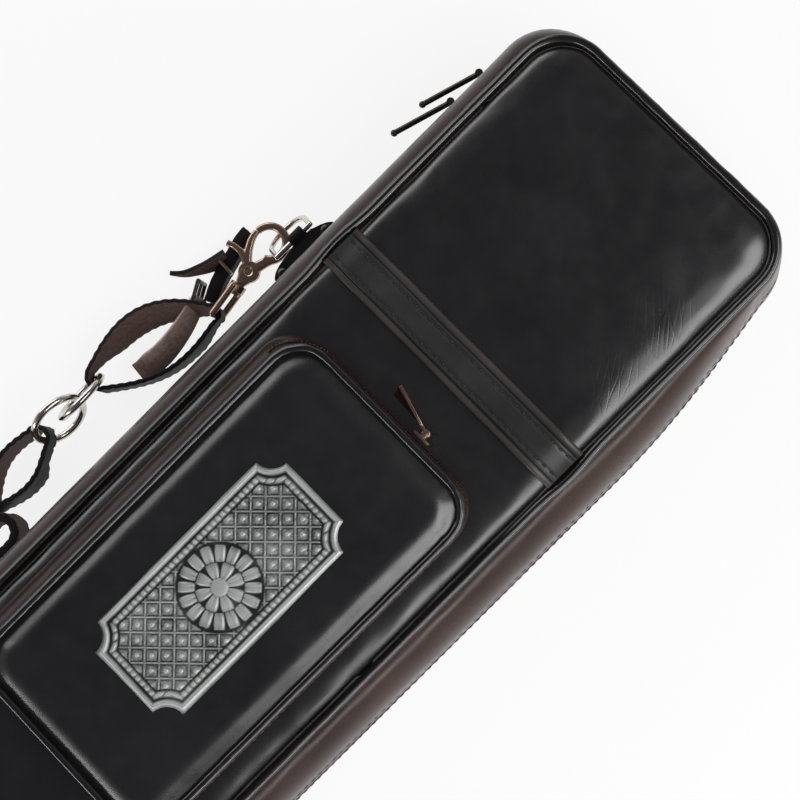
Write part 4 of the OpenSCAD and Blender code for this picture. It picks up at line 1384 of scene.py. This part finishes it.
class CUECASE_OT_plaque(bpy.types.Operator):
    """Model the tooled plaque: a beaded border, a lattice and a rosette in relief"""
    bl_idname = "cue_case.plaque"
    bl_label = "Tooled plaque"
    scoop = 11.2 * MM
    rosette_r = 23 * MM
    dome = 0.2
    inner_ring = 0.58
    lattice = 11 * MM

    def execute(self, context):
        lo, hi, mid = box_of("upper_pocket_plaque")
        half_w, half_l = (hi.x - lo.x) / 2, (hi.y - lo.y) / 2
        step = 0.55 * MM
        clear_selection()
        bpy.ops.mesh.primitive_grid_add(
            x_subdivisions=round(2 * half_w / step), y_subdivisions=round(2 * half_l / step), size=2)
        piece = bpy.context.object
        shape(piece, lambda p: Vector((p.x * half_w, p.y * half_l, 0)))
        choose(piece, "faces", lambda f: self.depth_inside(middle(f), half_w, half_l) < -0.4 * step)
        bpy.ops.mesh.delete(type="FACE")
        stop_editing()
        rub = piece.data.attributes.new("rub", "FLOAT", "POINT")
        for vertex, value in zip(piece.data.vertices, rub.data):
            height = self.relief(vertex.co, half_w, half_l)
            value.value = height
            fall = eased(self.depth_inside(vertex.co, half_w, half_l) / (2.2 * MM))
            vertex.co.z = lo.z - 0.5 * MM + (0.6 * MM + sizes().relief * height) * fall
        choose(piece, "edges", lambda e: e.is_boundary)
        bpy.ops.mesh.extrude_region_move(TRANSFORM_OT_translate={"value": (0, 0, -0.8 * MM)})
        stop_editing()
        moved(piece, Vector((mid.x, mid.y, 0)))
        smooth(piece, 70)
        hand_over(piece, "tooled_plaque", "upper_pocket_lid", self.pewter(),
                  ["upper_pocket_plaque"])
        return {"FINISHED"}

    def depth_inside(self, p, half_w, half_l):
        """Distance inwards from the plaque's edge, whose corners are scooped."""
        x, y = abs(p.x), abs(p.y)
        return min(half_w - x, half_l - y, math.hypot(half_w - x, half_l - y) - self.scoop)

    def relief(self, p, half_w, half_l):
        """Height of the tooling from 0 to 1."""
        deep = self.depth_inside(p, half_w, half_l)
        rim = ridge(deep - 2.6 * MM, 1.1 * MM)
        cut = ridge(deep - 5.0 * MM, 0.5 * MM)
        run = (p.y if abs(p.x) > half_w - 11 * MM else p.x) / (3.4 * MM)
        beads = ridge(deep - 7.2 * MM, 1.1 * MM) * abs(math.cos(math.pi * run)) ** 0.5
        inner_cut = ridge(deep - 9.4 * MM, 0.5 * MM)
        if deep < 9.6 * MM:
            return max(0.25 + 0.7 * rim, 0.15 + 0.75 * beads) * (1 - 0.9 * max(cut, inner_cut))
        r = math.hypot(p.x, p.y)
        if r < self.rosette_r:
            return self.rosette(p, r)
        u, v = (p.x + p.y) / self.lattice, (p.x - p.y) / self.lattice
        from_line = min(abs(u - round(u)), abs(v - round(v)))
        pillow = eased(from_line / 0.30) * 0.62 + 0.12
        stem = 0.9 * ridge(from_line, 0.055)
        dot = math.hypot(u - math.floor(u) - 0.5, v - math.floor(v) - 0.5)
        stud = 0.95 * eased((0.17 - dot) / 0.06)
        stipple = 0.10 * (noise.cell(Vector((p.x, p.y, 0)) / (0.9 * MM)) - 0.5)
        ring_cut = 1 - 0.9 * ridge(r - self.rosette_r, 0.6 * MM)
        return max(pillow * 0.75 + stipple, stud, stem * 0.8) * ring_cut * (1 - 0.9 * inner_cut)

    def rosette(self, p, r):
        """Two rings of petals round a domed middle."""
        angle = math.atan2(p.y, p.x)
        share = r / self.rosette_r
        if share < self.dome:
            return 0.55 + 0.4 * math.sqrt(max(0, 1 - (share / self.dome) ** 2))
        if share < self.inner_ring:
            count, low, high, twist = 8, self.dome, self.inner_ring, 0.0
        else:
            count, low, high, twist = 16, self.inner_ring, 0.97, math.pi / 16
        t = (share - low) / (high - low)
        across = abs(((angle + twist) * count / (2 * math.pi)) % 1 - 0.5) * 2
        edge = 1 - across - 0.25 * t * t
        vein = 0.35 * ridge(across, 0.08) * (1 - t)
        body = 0.1
        if t < 0.95:
            body = eased(edge / 0.35) * (0.5 + 0.4 * math.sin(math.pi * min(1, t * 1.1)))
        return max(0.08, body - vein)

    def pewter(self):
        """Antiqued pewter colour: rubbed bright where it stands high and dark in the cuts."""
        material, tree, shader = new_material("antiqued_pewter", colours().pewter, 0.4, 0.45)
        rub = add_node(tree, "ShaderNodeAttribute", attribute_name="rub")
        cloud = object_noise(tree, 55, 5)
        worn = add_node(tree, "ShaderNodeMath", operation="MULTIPLY_ADD")
        tree.links.new(cloud, worn.inputs[0])
        worn.inputs[1].default_value = 0.55
        tree.links.new(rub.outputs["Fac"], worn.inputs[2])
        spread = ranged(tree, worn.outputs[0], 0, 1, 0.38, 1.05)
        coloured(tree, shader, spread, PEWTER_CUTS, colours().pewter)
        tree.links.new(ranged(tree, cloud, 0.34, 0.55), shader.inputs["Roughness"])
        bumped(tree, shader, [(object_noise(tree, 900, 4), 0.08 * MM), (cells(tree, 700), 0.04 * MM)])
        return material


# Snaps, rings and tabs

def worn(piece, voxel, rounds):
    """Wears every edge of a piece round, as a tumbled casting has them."""
    add_modifier(piece, "REMESH", mode="VOXEL", voxel_size=voxel)
    add_modifier(piece, "SMOOTH", factor=0.5, iterations=rounds)


def cast(node, name, voxel=0.4 * MM, rounds=5):
    """A copy of a frame node with worn edges."""
    piece = copied(node, name)
    worn(piece, voxel, rounds)
    smooth(piece, 80)
    return piece


def rod(name, points, radii):
    """A tapered round rod along points in millimetres."""
    curve = bpy.data.curves.new(name, "CURVE")
    curve.dimensions = "3D"
    curve.bevel_depth = 1.0
    curve.bevel_resolution = 4
    curve.use_fill_caps = True
    spline = curve.splines.new("POLY")
    spline.points.add(len(points) - 1)
    for spot, point, radius in zip(spline.points, points, radii):
        spot.co = (*(Vector((*point, 0)[:3]) * MM), 1)
        spot.radius = radius * MM
    piece = new_piece(name, curve)
    activate(piece)
    bpy.ops.object.convert(target="MESH")
    return piece


def plate(radius, thickness, at):
    """A round plate in the hook's plane, in millimetres."""
    clear_selection()
    bpy.ops.mesh.primitive_cylinder_add(
        vertices=40, radius=radius * MM, depth=thickness * MM, location=Vector((*at, 0)) * MM)
    piece = bpy.context.object
    settle(piece)
    return piece


def fused(parts, name):
    """Parts grown into one casting with soft edges."""
    piece = join(parts, name)
    worn(piece, 0.38 * MM, 4)
    flat = HOOK_T / 2 * MM
    shape(piece, lambda p: Vector((p.x, p.y, flat * math.tanh(p.z / (0.8 * flat)))))
    smooth(piece, 80)
    return piece


HOOK_AT = Vector((-132.42, 223.95, 14)) * MM
HOOK_TURN = math.radians(9)
HOOK_R = 9.75
RING_FROM = -72
RING_SWEEP = 243
HOOK_T = 5.0
PIVOT_Y = -20.0
RING_Y = 235 * MM
NECK_Y = -31.0


class CUECASE_OT_snaps(bpy.types.Operator):
    """Model the trigger snaps, their swivel eyes, the rings and the leather tabs that hold them"""
    bl_idname = "cue_case.snaps"
    bl_label = "Snaps and rings"

    def execute(self, context):
        for end in ENDS:
            for part, body, piece in (
                    ("snap_hook", f"{end}_snap", self.at_hook(self.hook(), end)),
                    ("snap_rivet", f"{end}_snap", self.at_hook(self.rivet(), end)),
                    ("snap_gate", f"{end}_gate", self.at_hook(self.gate(), end)),
                    ("swivel_eye", "back_half", cast(f"{end}_swivel_eye", "eye"))):
                hand_over(piece, f"{end}_{part}_casting", body, finish("bronze"),
                          [f"{end}_{part}"])
            give_finish(f"{end}_d_ring", "nickel")
        give_finish("link_rings", "nickel")
        give_finish("ring_tab_rivets", "dark_metal")
        self.add_tabs()
        return {"FINISHED"}

    def at_hook(self, piece, end):
        """Puts a snap part in its place, mirrored for the lower snap."""
        place = Matrix.Translation(HOOK_AT) @ Matrix.Rotation(HOOK_TURN, 4, "Z")
        if end == "lower":
            place = Matrix.Scale(-1, 4, (0, 1, 0)) @ place
        piece.data.transform(place)
        if end == "lower":
            close_mesh(piece)
        return piece

    def hook(self):
        """Open ring with a tapering nose, its shank, the hinge plate and the swivel's neck."""
        steps = 30
        angles = [math.radians(RING_FROM + RING_SWEEP * i / steps) for i in range(steps + 1)]
        ring = rod("ring", [(HOOK_R * math.cos(a), HOOK_R * math.sin(a)) for a in angles],
                   [2.9 - 0.7 * i / steps for i in range(steps + 1)])
        shank = rod("shank", [(6.6, -7.2), (5.0, -9.6), (3.4, -13), (1.8, -17), (0.8, -21)],
                    [2.8, 3.0, 3.2, 3.4, 3.4])
        cheek = plate(6.2, HOOK_T, (0.4, PIVOT_Y))
        taper = rod("taper", [(0.4, PIVOT_Y - 1), (0.3, PIVOT_Y - 4), (0.1, PIVOT_Y - 7), (0, NECK_Y + 2)],
                    [5.4, 4.8, 3.6, 2.6])
        neck = rod("neck", [(0, NECK_Y + 4), (0, NECK_Y - 3.4)], [2.5, 2.5])
        head = rod("head", [(0, NECK_Y - 2.8), (0, NECK_Y - 4.6)], [3.8, 3.8])
        return fused([ring, shank, cheek, taper, neck, head], "hook")

    def gate(self):
        """Curved arm that closes the ring, the thumb lever and the hub between the cheeks."""
        arm = rod("arm", [(0, PIVOT_Y), (-4.2, -15.5), (-7.4, -10.5), (-9.5, -5), (-10.0, -2), (-9.9, 1.4)],
                  [2.5, 2.6, 2.5, 2.3, 2.1, 1.9])
        lever = rod("lever", [(-2, -19), (-6.5, -14.8), (-11, -13.2), (-16, -13.0), (-20.2, -14.0)],
                    [2.6, 2.5, 2.1, 1.9, 1.9])
        hub = plate(5.0, HOOK_T * 0.7, (0, PIVOT_Y))
        return fused([arm, lever, hub], "gate")

    def rivet(self):
        """Rivet through the hinge plate: a rolled rim round a dimple at both ends."""
        piece = plate(2.9, HOOK_T + 0.9, (0.4, PIVOT_Y))
        choose(piece, "faces", lambda f: abs(f.normal.z) > 0.9)
        bpy.ops.mesh.inset(thickness=1.1 * MM, use_individual=True)
        bpy.ops.transform.resize(value=(1, 1, 0.74))
        stop_editing()
        rounded(piece, 0.3 * MM, 3, 30)
        smooth(piece, 50)
        return piece

    def add_tabs(self):
        tabs = cast("ring_tabs", "tabs", 0.6 * MM, 10)
        lo, hi, _ = box_of("ring_tabs")

        def narrowed(p):
            off = abs(p.y) - RING_Y
            sleeve = 1 - eased((p.x - lo.x - 6.5 * MM) / (3 * MM))
            pinched = RING_Y + off * (1 - sleeve) + (off * 0.5 + 3 * MM) * sleeve
            near_end = 1 - eased((p.x - lo.x - 8 * MM) / (6 * MM))
            rounding = 4 * MM * (max(0, abs(off) - 16 * MM) / (7 * MM)) ** 2 * near_end
            return Vector((p.x + rounding, math.copysign(pinched, p.y), p.z))

        shape(tabs, narrowed)
        smooth(tabs, 60)
        hand_over(tabs, "ring_tab_leather", "back_half", finish("strap"), ["ring_tabs"])
        rows = []
        for side in (-1, 1):
            y = side * (hi.y - 3 * MM)
            run = straight_run((lo.x + 10 * MM, y, hi.z), (hi.x - 2 * MM, y, hi.z))
            rows.append(stitched_line(run, f"tab_row_{side}", 0.05 * MM))
        hand_over(join(rows, "tab_rows"), "ring_tab_stitches", "back_half", finish("thread"))


# Strap leather, which stands on edge

def strip(name, path, low, high, lean, thickness, closed=False, scallop=0.0):
    """Leather on edge along a plan path: a grid laid along it, leaned, thickened and rounded at its edges.
    low, high and lean give its lower edge, upper edge and top's shift sideways at a share of its length."""
    lengths = [0.0]
    for a, b in zip(path, path[1:]):
        lengths.append(lengths[-1] + (b - a).length)
    whole = lengths[-1]
    count = max(8, round(whole / (sizes().stitch_pitch / 4)))

    def at(run):
        i = 1
        while i < len(path) - 1 and lengths[i] < run:
            i += 1
        share = (run - lengths[i - 1]) / max(lengths[i] - lengths[i - 1], 1e-9)
        return path[i - 1].lerp(path[i], share)

    clear_selection()
    bpy.ops.mesh.primitive_grid_add(x_subdivisions=count, y_subdivisions=8, size=1)
    piece = bpy.context.object
    piece.name = name
    spots = {}
    for i in range(count + 1):
        run = whole * i / count
        ahead = at(min(run + 0.6 * MM, whole)) - at(max(run - 0.6 * MM, 0))
        if closed and i in (0, count):
            ahead = path[1] - path[0] + path[-1] - path[-2]
        spots[i] = at(run), Vector((-ahead.y, ahead.x)).normalized()

    def place(p):
        share, up = p.x + 0.5, p.y + 0.5
        spot, side = spots[round(share * count)]
        edge = max(0, abs(up - 0.5) * 2 - 0.6) / 0.4
        wave = scallop * edge * math.sin(2 * math.pi * share * whole / sizes().stitch_pitch)
        spot = spot + side * (lean(share) * up + wave)
        return Vector((spot.x, spot.y, low(share) + (high(share) - low(share)) * up))

    shape(piece, place)
    if closed:
        close_mesh(piece)
    piece.data.materials.append(finish("strap"))
    piece.data.materials.append(finish("flesh"))
    add_modifier(piece, "SOLIDIFY", thickness=thickness, offset=-1.0 if closed else 0.0, use_even_offset=True,
                 material_offset=1, material_offset_rim=0)
    rounded(piece, 0.5 * MM, 2, 60)
    smooth(piece, 50)
    return piece


def steady(value):
    """The same value all along a strip."""
    return lambda share: value


def smoothed(points):
    """A smooth curve through plan points."""
    steps = 6
    points = [Vector(p) * MM for p in points]
    curve = []
    for i in range(len(points) - 1):
        a, b = points[max(i - 1, 0)], points[i]
        c, d = points[i + 1], points[min(i + 2, len(points) - 1)]
        for s in range(steps):
            t = s / steps
            curve.append((2 * b + (c - a) * t + (2 * a - 5 * b + 4 * c - d) * t ** 2
                          + (3 * b - a - 3 * c + d) * t ** 3) / 2)
    return curve + [points[-1]]


def bend(centre, radius, start, end):
    """An arc in plan, by its angles in degrees."""
    steps = 12
    angles = [math.radians(start + (end - start) * i / steps) for i in range(1, steps)]
    return [(Vector(centre) + radius * Vector((math.cos(a), math.sin(a)))) * MM for a in angles]


def loop_round(p, q, r_p, r_q, belly, grow):
    """Closed plan path of a leather loop round a wire at each end, swollen by its belly between them."""
    p, q = Vector(p), Vector(q)
    points = []
    for a, b, r_a, r_b in ((p, q, r_p, r_q), (q, p, r_q, r_p)):
        along = (b - a).normalized()
        side = Vector((-along.y, along.x))
        for i in range(25):
            t = i / 24
            out = r_a + (r_b - r_a) * t + belly * math.sin(math.pi * t) + grow
            points.append(a.lerp(b, t) + side * out)
        turn = math.degrees(math.atan2(along.y, along.x))
        points += [point / MM for point in bend(b, r_b + grow, turn + 90, turn - 90)]
    return [point * MM for point in points + points[:1]]


FLAP_PATH = [(-129.5, 117), (-127.5, 128), (-127.5, 140), (-131, 157), (-138, 174.7)]
TIP_PATH = [(-142.5, 200), (-146.4, 191.3), (-150.1, 184.6), (-155.7, 176.6), (-162.5, 171.4)]
FOLD_PATH = [(-134, 176.5), (-139.5, 188), (-143.8, 203), (-146.6, 213), (-147.3, 220)]
PRONG = [(-147, 197, 11.2), (-136, 196, 11.2)]
EYE_BAR = Vector((-124.45, 173.58))
RING_A_END = Vector((-146.45, 102.58))
RING_B_END = Vector((-146.45, 52.58))
STRAP_KNOT = Vector((-138.45, 6.58))
LOWER_EYE = Vector((-124.45, -173.58))
LOWER_KNOT = Vector((-120.45, -143.58))
EYE_LOOP_R = 2.3
RING_LOOP_R = 5.6
KNOT_R = 1.0
STRAP_TOP = 23 * MM
STRAP_T = 5 * MM
LAYER_T = 2.5 * MM
NARROW_LOW = 11 * MM
NARROW_HIGH = 24 * MM
LOW_BEND, LOW_BEND_R = (-180, -289.05), 10.5
TOP_BEND, TOP_BEND_R = (-123.5, 0), 9
RUN_OUT = [(-138.45, 2.9), (-144, -32.9), (-155, -94), (-177, -188), (-189.5, -258.5), (-190.5, -289.05)]
RUN_BACK = [(-169.5, -289.05), (-168, -258.5), (-163, -188), (-147, -94), (-135, -28.2), (-132.5, 0)]
RUN_DOWN = [(-114.5, 0), (-114.5, -23.5), (-116, -70.5), (-122, -117.5), (-120.45, -139.9)]


class CUECASE_OT_strap(bpy.types.Operator):
    """Model the chape, the pointed end, the shoulder strap and its loops, with the strap's stitches"""
    bl_idname = "cue_case.strap"
    bl_label = "Chape and strap"

    def execute(self, context):
        self.add_chape()
        self.add_strap()
        return {"FINISHED"}

    def drawn_narrow(self, ends):
        """Edges of a loop that narrows where it passes a wire, at the given shares of its length."""
        def near(share):
            return max(1 - eased(min(abs(share - end), 1 - abs(share - end)) / 0.09) for end in ends)
        return (lambda s: NARROW_LOW * near(s)), (lambda s: STRAP_TOP + (NARROW_HIGH - STRAP_TOP) * near(s))

    def two_sided(self, piece, name, nodes=()):
        """Hands over a strip that is black outside and brown inside."""
        hand_over(piece, name, "back_half", None, nodes)

    def add_chape(self):
        path = loop_round(EYE_BAR, RING_A_END, EYE_LOOP_R, RING_LOOP_R, 9, LAYER_T / MM)
        low, high = self.drawn_narrow((0.0, 0.47, 0.5, 0.53, 0.97, 1.0))

        def lean(share):
            near_side = share < 0.5
            swing = math.sin(math.pi * min(1, max(0, (share if near_side else share - 0.5) / 0.46)))
            return swing * (1.5 * MM if near_side else 9 * MM)

        chape = strip("chape_loop", path, low, high, lean, LAYER_T, closed=True, scallop=0.25 * MM)
        self.two_sided(chape, "chape_loop", ["chape"])
        flap = strip("chape_flap", smoothed(FLAP_PATH), steady(3 * MM),
                     lambda s: 20 * MM - 9 * MM * (1 - eased(s / 0.2)),
                     lambda s: (3 + 8 * (1 - s) ** 0.6) * MM, 1.6 * MM)
        # The flap's finish holds painted light: its flesh colour is lightened for the shade it lies in.
        hand_over(flap, "chape_inner_flap", "back_half", finish("pale_flesh"))
        tip = strip("chape_tip", smoothed(TIP_PATH), lambda s: 2 * MM + 7 * MM * s,
                    lambda s: 16 * MM - 5 * MM * s, lambda s: -6 * MM * (1 - s), LAYER_T)
        self.two_sided(tip, "chape_pointed_end")
        fold = strip("chape_fold", smoothed(FOLD_PATH), steady(0.2 * MM), steady(10.4 * MM), steady(0),
                     8 * MM, scallop=0.12 * MM)
        self.two_sided(fold, "chape_buckle_fold")
        prong = rod("prong", PRONG, [1.0, 1.0])
        smooth(prong, 60)
        hand_over(prong, "chape_buckle_prong", "back_half", finish("bronze"))
        give_finish("chape_buckle", "dark_metal")

    def add_strap(self):
        path = (smoothed(RUN_OUT) + bend(LOW_BEND, LOW_BEND_R, 180, 360) + smoothed(RUN_BACK)
                + bend(TOP_BEND, TOP_BEND_R, 180, 0) + smoothed(RUN_DOWN))
        strap = strip("strap_run", path, steady(0), steady(STRAP_TOP), steady(0), STRAP_T, scallop=0.3 * MM)
        self.two_sided(strap, "shoulder_strap_run", ["shoulder_strap"])
        for name, p, q, r_p, belly, ends in (
                ("strap_ring_loop", RING_B_END, STRAP_KNOT, RING_LOOP_R, 7, (0.0, 0.05, 0.95, 1.0)),
                ("strap_lower_loop", LOWER_EYE, LOWER_KNOT, EYE_LOOP_R, 3, (0.0, 0.06, 0.94, 1.0))):
            low, high = self.drawn_narrow(ends)
            loop = strip(name, loop_round(p, q, r_p, KNOT_R, belly, LAYER_T / MM), low, high, steady(0),
                         LAYER_T, closed=True, scallop=0.3 * MM)
            self.two_sided(loop, name)
        rows = []
        for face in (-1, 1):
            for height in (3 * MM, STRAP_TOP - 3 * MM):
                run = self.along(path, face * STRAP_T / 2, height)
                rows.append(stitched_line(run, "strap_row", 0.1 * MM))
        hand_over(join(rows, "strap_rows"), "strap_stitches", "back_half",
                  finish("pale_thread"))

    def along(self, path, offset, height):
        """Stitch places on one face of the strap."""
        left = sizes().stitch_pitch
        for a, b in zip(path, path[1:]):
            ahead = (b - a).normalized()
            side = Vector((-ahead.y, ahead.x))
            run = (b - a).length
            spot = left
            while spot < run:
                point = a + ahead * spot + side * offset
                outward = Vector((*side, 0)) * math.copysign(1, offset)
                yield Vector((point.x, point.y, height)), Vector((*ahead, 0)), outward
                spot += sizes().stitch_pitch
            left = spot - run


class CUECASE_OT_inside(bpy.types.Operator):
    """Model the inside: padded beds and ribs, elastic keepers, studs and boards"""
    bl_idname = "cue_case.inside"
    bl_label = "Inside"

    def execute(self, context):
        for body, kind in (("back_half", "butt"), ("front_half", "shaft")):
            for part, look, edge in (
                    ("bed", "lining", 1.5 * MM),
                    ("ribs", "lining", 1.4 * MM),
                    ("keepers", "elastic", 0.4 * MM)):
                piece = drawn_in(refined(f"{kind}_{part}", f"{kind}_{part}_soft", edge, 3))
                hand_over(piece, f"{kind}_{part}_soft", body, finish(look), [f"{kind}_{part}"])
            give_finish(f"{kind}_keeper_snaps", "nickel")
        give_finish("back_board", "board")
        give_finish("front_board", "board")
        return {"FINISHED"}


class CUECASE_PT_sidebar(bpy.types.Panel):
    """Steps and sizes of the cue case"""
    bl_idname = "CUECASE_PT_sidebar"
    bl_label = "Cue Case"
    bl_space_type = "VIEW_3D"
    bl_region_type = "UI"
    bl_category = "Cue Case"

    def draw(self, context):
        for group in (context.scene.cue_case_sizes, context.scene.cue_case_colours):
            for name in group.__annotations__:
                self.layout.prop(group, name)
        for step in STEPS:
            self.layout.operator(step.bl_idname)


STEPS = [
    CUECASE_OT_stage, CUECASE_OT_panels, CUECASE_OT_piping, CUECASE_OT_gussets, CUECASE_OT_spine,
    CUECASE_OT_zipper, CUECASE_OT_sliders, CUECASE_OT_band, CUECASE_OT_pockets, CUECASE_OT_plaque,
    CUECASE_OT_snaps, CUECASE_OT_strap, CUECASE_OT_inside,
]
CLASSES = [CueCaseSizes, CueCaseColours, *STEPS, CUECASE_PT_sidebar]


def register():
    for cls in CLASSES:
        bpy.utils.register_class(cls)
    bpy.types.Scene.cue_case_sizes = bpy.props.PointerProperty(type=CueCaseSizes)
    bpy.types.Scene.cue_case_colours = bpy.props.PointerProperty(type=CueCaseColours)


def unregister():
    del bpy.types.Scene.cue_case_colours
    del bpy.types.Scene.cue_case_sizes
    for cls in reversed(CLASSES):
        bpy.utils.unregister_class(cls)


def main():
    """Registers the add-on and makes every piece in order."""
    register()
    for step in STEPS:
        group, name = step.bl_idname.split(".")
        getattr(getattr(bpy.ops, group), name)()


if __name__ == "__main__":
    main()
